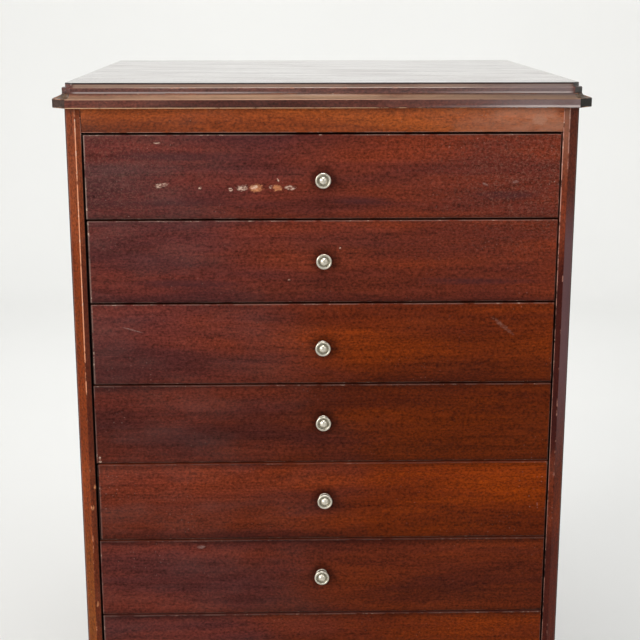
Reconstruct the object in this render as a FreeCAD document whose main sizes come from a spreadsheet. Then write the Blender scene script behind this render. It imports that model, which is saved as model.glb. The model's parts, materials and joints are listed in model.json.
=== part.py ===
import FreeCAD, Part
import os
import Sketcher

# A sheet music cabinet: a narrow case with canted front corners, a moulded top, a bracket
# plinth and a stack of shallow flush drawers that run on strips screwed to the case sides.
# Millimetres, +Z up, front towards -Y, origin on the floor at the middle of the outline.

DRAWERS = 8
BACK_BOARDS = 5
TAILS = 3
ON_EDGE = 0.01

SIZES = {
    # case
    "case_width": 500,
    "case_depth": 442,
    "side_thickness": 17,
    "side_cant": 11,
    "back_thickness": 9,
    "back_rebate": 8,
    "back_bevel": 1,
    "bottom_thickness": 12,
    "rail_thickness": 20,
    "rail_setback": 0.5,
    "top_rail_height": 24,
    "back_rail_height": 22,
    "bottom_rail_height": 24,
    # top and cornice
    "cornice_cant": 8,
    "cornice_overhang": 10.2,
    "cornice_seat": 12,
    "cornice_round": 0.9,
    "fascia_height": 9,
    "cove_height": 4.4,
    "cove_sag": 1.9,
    "top_overhang": 1.2,
    "top_step_height": 6.2,
    "top_step_round": 1.6,
    "top_inset": 2,
    "top_lip_height": 4,
    "top_lip_round": 0.8,
    # plinth
    "plinth_height": 130,
    "plinth_overhang": 10.2,
    "plinth_seat": 8,
    "plinth_round": 1,
    "plinth_cove_height": 11,
    "plinth_cove_sag": 2.1,
    "plinth_lip": 1.2,
    "plinth_back_thickness": 16,
    "foot_width": 62,
    "arch_height": 52,
    "arch_curve": 20,
    "block_width": 30,
    "block_lift": 6,
    # drawers
    "front_height": 82.25,
    "front_gap": 1.8,
    "front_side_gap": 1.4,
    "front_thickness": 18,
    "front_round": 1.2,
    "drawer_back_gap": 29,
    "drawer_side_thickness": 10,
    "drawer_side_drop": 3,
    "drawer_back_thickness": 10,
    "drawer_back_drop": 6,
    "drawer_back_inset": 5,
    "housing_depth": 4,
    "panel_thickness": 5,
    "panel_lift": 5,
    "groove_depth": 5.5,
    "groove_play": 0.5,
    "front_lap": 6,
    "pin_width": 6,
    "tail_flare": 2.2,
    # runners
    "runner_width": 12,
    "runner_height": 10,
    "runner_back_gap": 35,
    "runner_screw_inset": 45,
    # knobs
    "knob_rose_radius": 6.2,
    "knob_rose_thickness": 1.2,
    "knob_neck_radius": 3.6,
    "knob_neck_length": 4.7,
    "knob_flare_height": 1.4,
    "knob_flare_sag": 0.43,
    "knob_back_ledge": 1.5,
    "knob_edge_height": 1.8,
    "knob_bevel_height": 1,
    "knob_bevel_width": 0.8,
    "knob_rim_width": 1.2,
    "knob_groove_depth": 1.3,
    "knob_groove_width": 1.4,
    "knob_dome_radius": 4.3,
    "knob_dome_rise": 2.7,
    "stem_radius": 2.4,
    "stem_play": 0.2,
    "stem_tip": 1.5,
    "nut_radius": 4.8,
    "nut_height": 3.6,
    # screws
    "screw_head_radius": 3.6,
    "screw_head_depth": 2.2,
    "screw_radius": 1.9,
    "screw_length": 22,
    "back_screw_edge": 11,
    "back_screw_inset": 24,
}

# The knobs were set by eye: how far each one stands right of and above its front's middle.
KNOB_ACROSS = (-0.3, 0.6, -0.4, 0.1, 1.6, -1.5, 0.5, -0.5)
KNOB_RISE = (-2.6, 1.6, -2.9, 2.6, 2.5, 2.1, -1.0, 1.2)
for number in range(DRAWERS):
    SIZES[f"knob_{number + 1}_across"] = KNOB_ACROSS[number]
    SIZES[f"knob_{number + 1}_rise"] = KNOB_RISE[number]

doc = FreeCAD.newDocument("sheet_music_cabinet")
size = doc.addObject("Spreadsheet::Sheet", "size")
for row, (alias, number) in enumerate(SIZES.items(), 1):
    size.set(f"A{row}", alias)
    size.set(f"B{row}", str(number))
    size.setAlias(f"B{row}", alias)
doc.recompute()

# Planes and levels that several pieces share, as expressions on the sheet.
HALF = "size.case_width/2"
INNER = "(size.case_width/2 - size.side_thickness)"
KNOB_BACK = "(size.knob_rose_thickness + size.knob_neck_length + size.knob_flare_height)"
KNOB_RIM = f"({KNOB_BACK} + size.knob_edge_height + size.knob_bevel_height)"
KNOB_GROOVE = f"({KNOB_RIM} - size.knob_groove_depth)"
KNOB_TOP = f"({KNOB_GROOVE} + size.knob_dome_rise)"
FRONT = f"(({KNOB_TOP} - size.case_depth)/2)"
BACK = f"({FRONT} + size.case_depth)"
BACK_FACE = f"({BACK} - size.back_thickness)"
PITCH = "(size.front_height + size.front_gap)"
BASE = "size.plinth_height"
STACK = f"({BASE} + size.bottom_rail_height + size.front_gap)"
SIDE_TOP = f"({STACK} + {DRAWERS}*{PITCH} + size.top_rail_height)"
CORNICE_TOP = f"({SIDE_TOP} + size.fascia_height + size.cove_height)"
BOX_HALF = f"({INNER} - size.front_side_gap)"
BOX_INNER = f"({BOX_HALF} - size.drawer_side_thickness)"
DRAWER_FACE = f"({FRONT} + size.front_thickness)"
MITRE = "(sqrt(2) - 1)"
MITRE_DEPTH = "(size.cornice_cant*(1 + 1/sqrt(2)))"

parts = []


def value(expression):
    return float(size.evalExpression(str(expression)))


def sagged(across, up, sag):
    """The radius of an arc over a chord with this run and rise, bowed by the sag."""
    return f"((({across})^2 + ({up})^2)/4 + {sag}^2)/(2*{sag})"


def keep(piece, label):
    piece.Label = label
    parts.append(piece)
    return piece


def bind(piece, **expressions):
    for name, expression in expressions.items():
        piece.setExpression(name, str(expression))


def place(piece, x="0", y="0", z="0"):
    for axis, expression in zip("xyz", (x, y, z)):
        piece.setExpression(f"Placement.Base.{axis}", str(expression))


def box(name, x, y, z):
    """A board given by its low and high limits on each axis."""
    board = doc.addObject("Part::Box", name)
    bind(board, Length=f"{x[1]} - ({x[0]})", Width=f"{y[1]} - ({y[0]})", Height=f"{z[1]} - ({z[0]})")
    place(board, x[0], y[0], z[0])
    return board


def group(name, pieces):
    compound = doc.addObject("Part::Compound", name)
    compound.Links = pieces
    return compound


def fused(name, pieces):
    whole = doc.addObject("Part::MultiFuse", name)
    whole.Shapes = pieces
    return whole


def cut(name, base, tool):
    rest = doc.addObject("Part::Cut", name)
    rest.Base = base
    rest.Tool = tool
    return rest


def mirrored(name, source):
    """The same piece for the other side of the cabinet."""
    copy = doc.addObject("Part::Mirroring", name)
    copy.Source = source
    copy.Normal = FreeCAD.Vector(1, 0, 0)
    return copy


def outline(body, name, plane, points, lift="0"):
    """A closed sketch through the points. A point with a third and fourth item starts an arc:
    its radius, and +1 where the arc's middle lies left of the line to the next point."""
    sketch = body.newObject("Sketcher::SketchObject", name)
    origin_plane = [item for item in body.Origin.OriginFeatures if item.Role == plane][0]
    sketch.AttachmentSupport = (origin_plane, [""])
    sketch.MapMode = "FlatFace"
    sketch.setExpression("AttachmentOffset.Base.z", lift)
    corners = [FreeCAD.Vector(value(point[0]), value(point[1]), 0) for point in points]
    count = len(points)
    for index, point in enumerate(points):
        start = corners[index]
        end = corners[(index + 1) % count]
        if len(point) == 2:
            sketch.addGeometry(Part.LineSegment(start, end))
            continue
        chord = end - start
        radius = value(point[2])
        left = FreeCAD.Vector(-chord.y, chord.x, 0).normalize() * point[3]
        depth = radius - (radius**2 - chord.Length**2 / 4) ** 0.5
        sketch.addGeometry(Part.Arc(start, start + chord / 2 - left * depth, end))
        constraint = sketch.addConstraint(Sketcher.Constraint("Radius", index, radius))
        sketch.setExpression(f"Constraints[{constraint}]", str(point[2]))

    def end_at(index, corner):
        near = (sketch.getPoint(index, 1) - corner).Length < (sketch.getPoint(index, 2) - corner).Length
        return 1 if near else 2

    for index, point in enumerate(points):
        after = (index + 1) % count
        joint = corners[after]
        link = Sketcher.Constraint("Coincident", index, end_at(index, joint), after, end_at(after, joint))
        sketch.addConstraint(link)
        for kind, expression in zip(("DistanceX", "DistanceY"), point):
            spot = end_at(index, corners[index])
            dimension = Sketcher.Constraint(kind, -1, 1, index, spot, value(expression))
            constraint = sketch.addConstraint(dimension)
            sketch.setExpression(f"Constraints[{constraint}]", str(expression))
    return sketch


def pad(body, name, sketch, length, symmetric=False, backwards=False):
    feature = body.newObject("PartDesign::Pad", name)
    feature.Profile = sketch
    feature.Midplane = symmetric
    feature.Reversed = backwards
    bind(feature, Length=length)
    return feature


def pocket(body, name, sketch, symmetric=False, backwards=False):
    feature = body.newObject("PartDesign::Pocket", name)
    feature.Profile = sketch
    feature.Type = "ThroughAll"
    feature.Midplane = symmetric
    feature.Reversed = backwards
    return feature


def rounded(body, name, base, radius, wanted):
    """Round the edges of a feature whose two ends both pass the test."""
    doc.recompute()
    edges = [
        f"Edge{index}"
        for index, edge in enumerate(base.Shape.Edges, 1)
        if all(wanted(vertex.Point) for vertex in edge.Vertexes)
    ]
    feature = body.newObject("PartDesign::Fillet", name)
    feature.Base = (base, edges)
    bind(feature, Radius=radius)
    return feature


def prism(name, points, low, high):
    """An upright prism on a plan outline."""
    body = doc.addObject("PartDesign::Body", name)
    plan = outline(body, f"{name}_plan", "XY_Plane", points, low)
    pad(body, f"{name}_pad", plan, f"{high} - ({low})")
    return body


def countersunk_screw(name, x, y, z, axis, angle):
    """A wood screw that points along +Z before it is turned, its head flush at the given point."""
    head = doc.addObject("Part::Cone", f"{name}_head")
    bind(head, Radius1="size.screw_head_radius", Radius2="size.screw_radius", Height="size.screw_head_depth")
    shank = doc.addObject("Part::Cylinder", f"{name}_shank")
    bind(shank, Radius="size.screw_radius", Height="size.screw_length")
    screw = fused(name, [head, shank])
    screw.Placement.Rotation = FreeCAD.Rotation(FreeCAD.Vector(*axis), angle)
    place(screw, x, y, z)
    return screw


# Side boards: canted front corner, rebate at the back for the back boards.
right_plan = [
    (HALF, f"{FRONT} + size.side_cant"),
    (HALF, BACK),
    (f"{HALF} - size.back_rebate", BACK),
    (f"{HALF} - size.back_rebate", BACK_FACE),
    (INNER, BACK_FACE),
    (INNER, FRONT),
    (f"{HALF} - size.side_cant", FRONT),
]
keep(prism("side_right", right_plan, BASE, SIDE_TOP), "right_side")
left_plan = [(f"-({x})", y) for x, y in right_plan]
keep(prism("side_left", left_plan, BASE, SIDE_TOP), "left_side")

# Rails between the sides, and the bottom board that ties them at the floor of the case.
CLEAR = (f"-{INNER}", INNER)
rail_face = f"{FRONT} + size.rail_setback"
rail_back = f"({rail_face} + size.rail_thickness)"
top_rail = box("rail_top", CLEAR, (rail_face, rail_back), (f"{SIDE_TOP} - size.top_rail_height", SIDE_TOP))
keep(top_rail, "top_rail")
bottom_rail = box("rail_bottom", CLEAR, (rail_face, rail_back), (BASE, f"{BASE} + size.bottom_rail_height"))
keep(bottom_rail, "bottom_rail")
back_rail_face = f"{BACK_FACE} - size.rail_thickness"
back_rail_low = f"{SIDE_TOP} - size.back_rail_height"
keep(box("rail_back", CLEAR, (back_rail_face, BACK_FACE), (back_rail_low, SIDE_TOP)), "back_rail")
bottom_top = f"{BASE} + size.bottom_thickness"
keep(box("board_bottom", CLEAR, (rail_back, BACK_FACE), (BASE, bottom_top)), "bottom_board")

# Back boards: upright boards edge to edge in the rebates, bevelled at each joint.
back_half = f"({HALF} - size.back_rebate)"
board_width = f"(2*{back_half}/{BACK_BOARDS})"
boards = []
screws = []
for number in range(BACK_BOARDS):
    low = f"(-{back_half} + {number}*{board_width})"
    high = f"({low} + {board_width})"
    board_plan = [
        (low, BACK_FACE),
        (high, BACK_FACE),
        (high, f"{BACK} - size.back_bevel"),
        (f"{high} - size.back_bevel", BACK),
        (f"{low} + size.back_bevel", BACK),
        (low, f"{BACK} - size.back_bevel"),
    ]
    boards.append(prism(f"back_board_{number + 1}", board_plan, BASE, SIDE_TOP))
    for level_name, level in (
        ("top", f"{SIDE_TOP} - size.back_screw_edge"),
        ("bottom", f"{BASE} + size.bottom_thickness/2"),
    ):
        for edge_name, across in (
            ("left", f"{low} + size.back_screw_inset"),
            ("right", f"{high} - size.back_screw_inset"),
        ):
            name = f"back_screw_{number + 1}_{level_name}_{edge_name}"
            screws.append(countersunk_screw(name, across, BACK, level, (1, 0, 0), 90))
keep(group("boards_of_back", boards), "back_boards")


def moulding(name, run, profile, reach, seat, square_end=0, arch=None):
    """A straight moulding along X whose outer side faces -Y, with its middle at the origin.
    Its ends are cut to the mitre of a canted corner, and at 45 degrees behind that corner's
    inner point, or square at the end given as -1 or 1."""
    body = doc.addObject("PartDesign::Body", name)
    section = outline(body, f"{name}_section", "YZ_Plane", profile)
    pad(body, f"{name}_length", section, f"{run} + 4*{reach}", symmetric=True)
    for end in (-1, 1):
        slope = "0" if end == square_end else MITRE
        depth = f"({MITRE_DEPTH} + 2*{seat})"
        cut_plan = [
            (f"{end}*({run}/2 + {slope}*2*{reach})", f"-2*{reach}"),
            (f"{end}*({run}/2 + 4*{reach})", f"-2*{reach}"),
            (f"{end}*({run}/2 + 4*{reach})", depth),
        ]
        if end == square_end:
            cut_plan.append((f"{end}*{run}/2", depth))
        else:
            cut_plan.append((f"{end}*({run}/2 - {MITRE}*{MITRE_DEPTH} - 2*{seat})", depth))
            cut_plan.append((f"{end}*({run}/2 - {MITRE}*{MITRE_DEPTH})", MITRE_DEPTH))
        side = "right" if end > 0 else "left"
        end_cut = outline(body, f"{name}_{side}_plan", "XY_Plane", cut_plan)
        pocket(body, f"{name}_{side}_cut", end_cut, backwards=True)
    if arch:
        opening = outline(body, f"{name}_arch_outline", "XZ_Plane", arch)
        pocket(body, f"{name}_arch", opening, symmetric=True)
    return body


def surround(name, profile, reach, seat, level, arch=None):
    """A moulding round the front and sides: front length, canted corners and side lengths."""
    cant = "size.cornice_cant"
    front_run = f"(size.case_width - 2*{cant})"
    side_run = f"(size.case_depth - {cant})"
    front = moulding(f"{name}_front_length", front_run, profile, reach, seat, arch=arch and arch(front_run))
    place(front, "0", FRONT, level)
    keep(front, f"{name}_front")
    corners = []
    sides = []
    for hand, end in (("left", -1), ("right", 1)):
        corner = moulding(f"{name}_{hand}_corner", f"(sqrt(2)*{cant})", profile, reach, seat)
        corner.Placement.Rotation = FreeCAD.Rotation(FreeCAD.Vector(0, 0, 1), 45 * end)
        place(corner, f"{end}*({HALF} - {cant}/2)", f"{FRONT} + {cant}/2", level)
        corners.append(corner)
        side_arch = arch and arch(side_run)
        side = moulding(f"{name}_{hand}_side", side_run, profile, reach, seat, square_end=end, arch=side_arch)
        side.Placement.Rotation = FreeCAD.Rotation(FreeCAD.Vector(0, 0, 1), 90 * end)
        place(side, f"{end}*{HALF}", f"({FRONT} + {cant} + {BACK})/2", level)
        sides.append(side)
    keep(group(f"{name}_corner_pair", corners), f"{name}_corners")
    keep(group(f"{name}_side_pair", sides), f"{name}_sides")


# Cornice: a fascia with eased edges under a cove, mitred round the canted corners.
cornice_cove = sagged(
    "size.cornice_overhang - size.cornice_round - size.top_overhang", "size.cove_height", "size.cove_sag"
)
cornice_profile = [
    ("size.cornice_seat", "0"),
    ("size.cornice_round - size.cornice_overhang", "0", "size.cornice_round", -1),
    ("-size.cornice_overhang", "size.cornice_round"),
    ("-size.cornice_overhang", "size.fascia_height - size.cornice_round", "size.cornice_round", -1),
    ("size.cornice_round - size.cornice_overhang", "size.fascia_height", cornice_cove, 1),
    ("-size.top_overhang", "size.fascia_height + size.cove_height"),
    ("size.cornice_seat", "size.fascia_height + size.cove_height"),
]
surround("cornice", cornice_profile, "size.cornice_overhang", "size.cornice_seat", SIDE_TOP)

# A plain strip closes the cornice at the back, over the back rail and the back boards.
strip_half = f"({HALF} - size.cornice_seat)"
strip_x = (f"-{strip_half}", strip_half)
strip = box("cornice_back_strip", strip_x, (back_rail_face, BACK), (SIDE_TOP, CORNICE_TOP))
keep(strip, "cornice_back")


def canted_plan(offset):
    """The case's plan with canted front corners, moved outwards by the offset."""
    wide = f"({HALF} + {offset})"
    near = f"({FRONT} - {offset})"
    cant_x = f"({HALF} - size.cornice_cant + {MITRE}*{offset})"
    cant_y = f"({FRONT} + size.cornice_cant - {MITRE}*{offset})"
    right = [(cant_x, near), (wide, cant_y), (wide, BACK)]
    left = [(f"-{x}", y) for x, y in reversed(right)]
    return right + left


# Top board: a slab with a stepped edge, the lower step rounded and the upper lip eased.
top = doc.addObject("PartDesign::Body", "board_top")
STEP_TOP = f"({CORNICE_TOP} + size.top_step_height)"
TOP = f"({STEP_TOP} + size.top_lip_height)"
step_plan = outline(top, "top_step_plan", "XY_Plane", canted_plan("size.top_overhang"), CORNICE_TOP)
pad(top, "top_step", step_plan, "size.top_step_height")
lip_plan = outline(top, "top_lip_plan", "XY_Plane", canted_plan("(-size.top_inset)"), STEP_TOP)
lip = pad(top, "top_lip", lip_plan, "size.top_lip_height")


def outside(point, offset):
    """Whether a point lies on or beyond the canted plan at this offset, on the front or sides."""
    on_side = abs(point.x) > value(HALF) + offset - ON_EDGE
    on_front = point.y < value(FRONT) - offset + ON_EDGE
    return on_side or on_front


def on_step_edge(point):
    return abs(point.z - value(STEP_TOP)) < ON_EDGE and outside(point, value("size.top_overhang"))


def on_lip_edge(point):
    return abs(point.z - value(TOP)) < ON_EDGE and outside(point, -value("size.top_inset"))


step_rounded = rounded(top, "top_step_edge", lip, "size.top_step_round", on_step_edge)
rounded(top, "top_lip_edge", step_rounded, "size.top_lip_round", on_lip_edge)
keep(top, "top_board")

# Plinth: boards with a cove along the top and ogee bracket feet, standing on the floor.
plinth_shoulder = f"({BASE} - size.plinth_cove_height)"
plinth_cove = sagged(
    "size.plinth_overhang - size.plinth_round - size.plinth_lip",
    "size.plinth_cove_height",
    "size.plinth_cove_sag",
)
plinth_profile = [
    ("size.plinth_seat", "0"),
    ("-size.plinth_overhang", "0"),
    ("-size.plinth_overhang", f"{plinth_shoulder} - size.plinth_round", "size.plinth_round", -1),
    ("size.plinth_round - size.plinth_overhang", plinth_shoulder, plinth_cove, 1),
    ("-size.plinth_lip", BASE),
    ("size.plinth_seat", BASE),
]


def bracket_arch(run):
    """The cut between two feet: a step, then an ogee up to a straight soffit."""
    foot = f"({run}/2 - size.foot_width)"
    low = "(size.arch_height - 2*size.arch_curve)"
    middle = "(size.arch_height - size.arch_curve)"
    return [
        (f"-{foot}", "-size.arch_curve"),
        (f"-{foot}", low, "size.arch_curve", 1),
        (f"-({foot} - size.arch_curve)", middle, "size.arch_curve", -1),
        (f"-({foot} - 2*size.arch_curve)", "size.arch_height"),
        (f"{foot} - 2*size.arch_curve", "size.arch_height", "size.arch_curve", -1),
        (f"{foot} - size.arch_curve", middle, "size.arch_curve", 1),
        (foot, low),
        (foot, "-size.arch_curve"),
    ]


surround("plinth", plinth_profile, "size.plinth_overhang", "size.plinth_seat", "0", bracket_arch)
plinth_inner = f"({HALF} - size.plinth_seat)"
plinth_back_face = f"({BACK} - size.plinth_back_thickness)"
plinth_back_x = (f"-{plinth_inner}", plinth_inner)
plinth_back_z = ("size.arch_height", BASE)
keep(box("plinth_back_board", plinth_back_x, (plinth_back_face, BACK), plinth_back_z), "plinth_back")

# Glue blocks inside the plinth's corners: the front pair is cut off behind the canted pieces.
plinth_front_inner = f"({FRONT} + size.plinth_seat)"
corner_reach = f"(size.cornice_cant + {MITRE}*size.plinth_seat)"
front_block = prism(
    "glue_block_front_right",
    [
        (f"{plinth_inner} - size.block_width", plinth_front_inner),
        (f"{HALF} - {corner_reach}", plinth_front_inner),
        (plinth_inner, f"{FRONT} + {corner_reach}"),
        (plinth_inner, f"{plinth_front_inner} + size.block_width"),
        (f"{plinth_inner} - size.block_width", f"{plinth_front_inner} + size.block_width"),
    ],
    "size.block_lift",
    BASE,
)
back_block = box(
    "glue_block_back_right",
    (f"{plinth_inner} - size.block_width", plinth_inner),
    (f"{plinth_back_face} - size.block_width", plinth_back_face),
    ("size.block_lift", BASE),
)
left_blocks = [mirrored(f"{block.Name}_left", block) for block in (front_block, back_block)]
keep(group("blocks_of_plinth", [front_block, back_block] + left_blocks), "glue_blocks")

# Runner strips: one for each drawer on each side. The front closes against their ends.
runner_y = (DRAWER_FACE, f"({BACK_FACE} - size.runner_back_gap)")
runner_inner = f"({INNER} - size.runner_width)"
runners = {"left": [], "right": []}
for number in range(1, DRAWERS + 1):
    low = f"({STACK} + {DRAWERS - number}*{PITCH})"
    level = (low, f"{low} + size.runner_height")
    screw_level = f"{low} + size.runner_height/2"
    for hand, end in (("left", -1), ("right", 1)):
        reach = (f"-{INNER}", f"-{runner_inner}") if end < 0 else (runner_inner, INNER)
        runners[hand].append(box(f"runner_{hand}_{number}", reach, runner_y, level))
        for place_name, along in (
            ("front", f"{runner_y[0]} + size.runner_screw_inset"),
            ("back", f"{runner_y[1]} - size.runner_screw_inset"),
        ):
            name = f"runner_screw_{hand}_{number}_{place_name}"
            screw = countersunk_screw(name, f"{end}*{runner_inner}", along, screw_level, (0, 1, 0), 90 * end)
            screws.append(screw)
for hand, strips in runners.items():
    keep(group(f"strips_{hand}", strips), f"{hand}_runners")
keep(group("screws_of_case", screws), "wood_screws")

# One drawer's pieces, with the lower edge of its front at zero height. Every drawer repeats them.
side_low = "size.runner_height"
side_high = "(size.front_height - size.drawer_side_drop)"
side_height = f"({side_high} - {side_low})"
drawer_end = f"({BACK_FACE} - size.drawer_back_gap)"
panel_low = f"({side_low} + size.panel_lift)"
panel_high = f"({panel_low} + size.panel_thickness)"
back_end = f"({drawer_end} - size.drawer_back_inset)"
back_face = f"({back_end} - size.drawer_back_thickness)"
tail_front = f"({FRONT} + size.front_lap)"
tail_half = f"({side_height}/{2 * TAILS} - size.pin_width/2)"

# Dovetails of a drawer side: wider at the tip, so that the front can't pull away.
tails = []
for number in range(TAILS):
    middle = f"({side_low} + {side_height}*{2 * number + 1}/{2 * TAILS})"
    tail = doc.addObject("Part::Wedge", f"tail_{number + 1}")
    bind(
        tail,
        Xmin=BOX_INNER,
        X2min=BOX_INNER,
        Xmax=BOX_HALF,
        X2max=BOX_HALF,
        Ymin=tail_front,
        Ymax=DRAWER_FACE,
        Zmin=f"{middle} - {tail_half}",
        Zmax=f"{middle} + {tail_half}",
        Z2min=f"{middle} - {tail_half} + size.tail_flare",
        Z2max=f"{middle} + {tail_half} - size.tail_flare",
    )
    tails.append(tail)

# Drawer side: grooved for the bottom and housed for the back.
side_y = (DRAWER_FACE, drawer_end)
side_board = box("drawer_side_board", (BOX_INNER, BOX_HALF), side_y, (side_low, side_high))
groove_end = f"({BOX_INNER} + size.groove_depth)"
side_groove = box("drawer_side_groove", (BOX_INNER, groove_end), side_y, (panel_low, panel_high))
housing_end = f"({BOX_INNER} + size.housing_depth)"
housing_y = (back_face, back_end)
side_housing = box("drawer_side_housing", (BOX_INNER, housing_end), housing_y, (panel_high, side_high))
side_worked = cut("drawer_side_worked", side_board, fused("drawer_side_cuts", [side_groove, side_housing]))
drawer_side = fused("drawer_side_right", [side_worked] + tails)
drawer_side_left = mirrored("drawer_side_left", drawer_side)

# Drawer back: set in the housings, on top of the bottom.
drawer_back = box(
    "drawer_back_board",
    (f"-{housing_end}", housing_end),
    housing_y,
    (panel_high, f"{side_high} - size.drawer_back_drop"),
)

# Drawer bottom: slides in from behind, its tongue in the groove of the front.
panel_half = f"({groove_end} - size.groove_play)"
tongue_half = f"({BOX_INNER} - size.groove_play)"
tongue_face = f"({DRAWER_FACE} - size.groove_depth + size.groove_play)"
panel_right = [
    (tongue_half, tongue_face),
    (tongue_half, DRAWER_FACE),
    (panel_half, DRAWER_FACE),
    (panel_half, drawer_end),
]
panel_left = [(f"-{x}", y) for x, y in reversed(panel_right)]
drawer_bottom = prism("drawer_bottom_panel", panel_right + panel_left, panel_low, panel_high)

# Drawer front before drilling: eased face edges, dovetail sockets at the ends, groove inside.
front_body = doc.addObject("PartDesign::Body", "drawer_front_blank")
front_outline = [
    (f"-{BOX_HALF}", "0"),
    (BOX_HALF, "0"),
    (BOX_HALF, "size.front_height"),
    (f"-{BOX_HALF}", "size.front_height"),
]
front_sketch = outline(front_body, "drawer_front_outline", "XZ_Plane", front_outline, f"-{FRONT}")
front_pad = pad(front_body, "drawer_front_pad", front_sketch, "size.front_thickness", backwards=True)


def on_front_face(point):
    return abs(point.y - value(FRONT)) < ON_EDGE


rounded(front_body, "drawer_front_edges", front_pad, "size.front_round", on_front_face)
front_groove = box(
    "drawer_front_groove",
    (f"-{BOX_INNER}", BOX_INNER),
    (f"{DRAWER_FACE} - size.groove_depth", DRAWER_FACE),
    (panel_low, panel_high),
)
tail_set = fused("tails_right", tails)
front_cuts = fused("drawer_front_cuts", [tail_set, mirrored("tails_left", tail_set), front_groove])
front_worked = cut("drawer_front_worked", front_body, front_cuts)

# Knob: one turned piece with a rose, a waisted neck, a rimmed head with a dome, and a stem
# through the front. Its profile is drawn as radius against distance out from the front.
STEM_END = "(-size.front_thickness - size.nut_height - size.stem_tip)"
RIM_INNER = "(size.knob_dome_radius + size.knob_groove_width)"
RIM_OUTER = f"({RIM_INNER} + size.knob_rim_width)"
HEAD = f"({RIM_OUTER} + size.knob_bevel_width)"
HEAD_BACK = f"({HEAD} - size.knob_back_ledge)"
neck_flare = sagged(f"{HEAD_BACK} - size.knob_neck_radius", "size.knob_flare_height", "size.knob_flare_sag")
dome_sphere = "(size.knob_dome_radius^2 + size.knob_dome_rise^2)/(2*size.knob_dome_rise)"
knob_profile = [
    ("0", STEM_END),
    ("size.stem_radius", STEM_END),
    ("size.stem_radius", "0"),
    ("size.knob_rose_radius", "0"),
    ("size.knob_rose_radius", "size.knob_rose_thickness"),
    ("size.knob_neck_radius", "size.knob_rose_thickness"),
    ("size.knob_neck_radius", "size.knob_rose_thickness + size.knob_neck_length", neck_flare, -1),
    (HEAD_BACK, KNOB_BACK),
    (HEAD, KNOB_BACK),
    (HEAD, f"{KNOB_BACK} + size.knob_edge_height"),
    (RIM_OUTER, KNOB_RIM),
    (RIM_INNER, KNOB_RIM),
    ("size.knob_dome_radius", KNOB_GROOVE, dome_sphere, 1),
    ("0", KNOB_TOP),
]
knob = doc.addObject("PartDesign::Body", "knob_turned")
knob_sketch = outline(knob, "knob_profile", "XZ_Plane", knob_profile)
turning = knob.newObject("PartDesign::Revolution", "knob_turning")
turning.Profile = knob_sketch
turning.ReferenceAxis = (knob_sketch, ["V_Axis"])
turning.Angle = 360
knob.Placement.Rotation = FreeCAD.Rotation(FreeCAD.Vector(1, 0, 0), 90)
place(knob, "0", FRONT, "0")

nut_blank = doc.addObject("Part::Prism", "nut_blank")
bind(nut_blank, Circumradius="size.nut_radius", Height="size.nut_height")
nut_hole = doc.addObject("Part::Cylinder", "nut_hole")
bind(nut_hole, Radius="size.stem_radius + size.stem_play/2", Height="size.nut_height")
nut = cut("knob_nut", nut_blank, nut_hole)
nut.Placement.Rotation = FreeCAD.Rotation(FreeCAD.Vector(1, 0, 0), -90)
place(nut, "0", DRAWER_FACE, "0")

# The drawers, top one first, with each front drilled for its own knob.
for number in range(1, DRAWERS + 1):
    level = f"{STACK} + {DRAWERS - number}*{PITCH}"
    knob_x = f"size.knob_{number}_across"
    knob_z = f"(size.front_height/2 + size.knob_{number}_rise)"
    hole = doc.addObject("Part::Cylinder", f"knob_hole_{number}")
    bind(hole, Radius="size.stem_radius + size.stem_play", Height="size.front_thickness")
    hole.Placement.Rotation = FreeCAD.Rotation(FreeCAD.Vector(1, 0, 0), -90)
    place(hole, knob_x, FRONT, knob_z)
    front = cut(f"front_{number}", front_worked, hole)
    sides = group(f"sides_{number}", [drawer_side, drawer_side_left])
    back = group(f"back_{number}", [drawer_back])
    bottom = group(f"bottom_{number}", [drawer_bottom])
    fitting = group(f"knob_{number}", [knob, nut])
    for piece, label in ((front, "front"), (sides, "sides"), (back, "back"), (bottom, "bottom")):
        place(piece, "0", "0", level)
        keep(piece, f"drawer_{number}_{label}")
    place(fitting, knob_x, "0", f"{level} + {knob_z}")
    keep(fitting, f"drawer_{number}_knob")

doc.recompute()

failed = [item.Name for item in doc.Objects if {"Invalid", "Error"} & set(item.State)]
failed += [part.Label for part in parts if part.Shape.isNull() or not part.Shape.isValid()]
if failed:
    raise RuntimeError("failed: " + ", ".join(failed))

os.makedirs("parts", exist_ok=True)
for part in parts:
    part.Shape.exportStep(f"parts/{part.Label}.step")
print(len(parts), "sub-parts written, height", round(value(TOP), 2))
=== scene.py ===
# Sheet music cabinet: a narrow case of eight shallow drawers in old polished mahogany, with canted front
# corners, a moulded top and a bracket plinth. Lengths are in metres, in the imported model's own frame.
import json
import math
from collections import namedtuple

import bmesh
import bpy
from mathutils import Matrix, Vector


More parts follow.
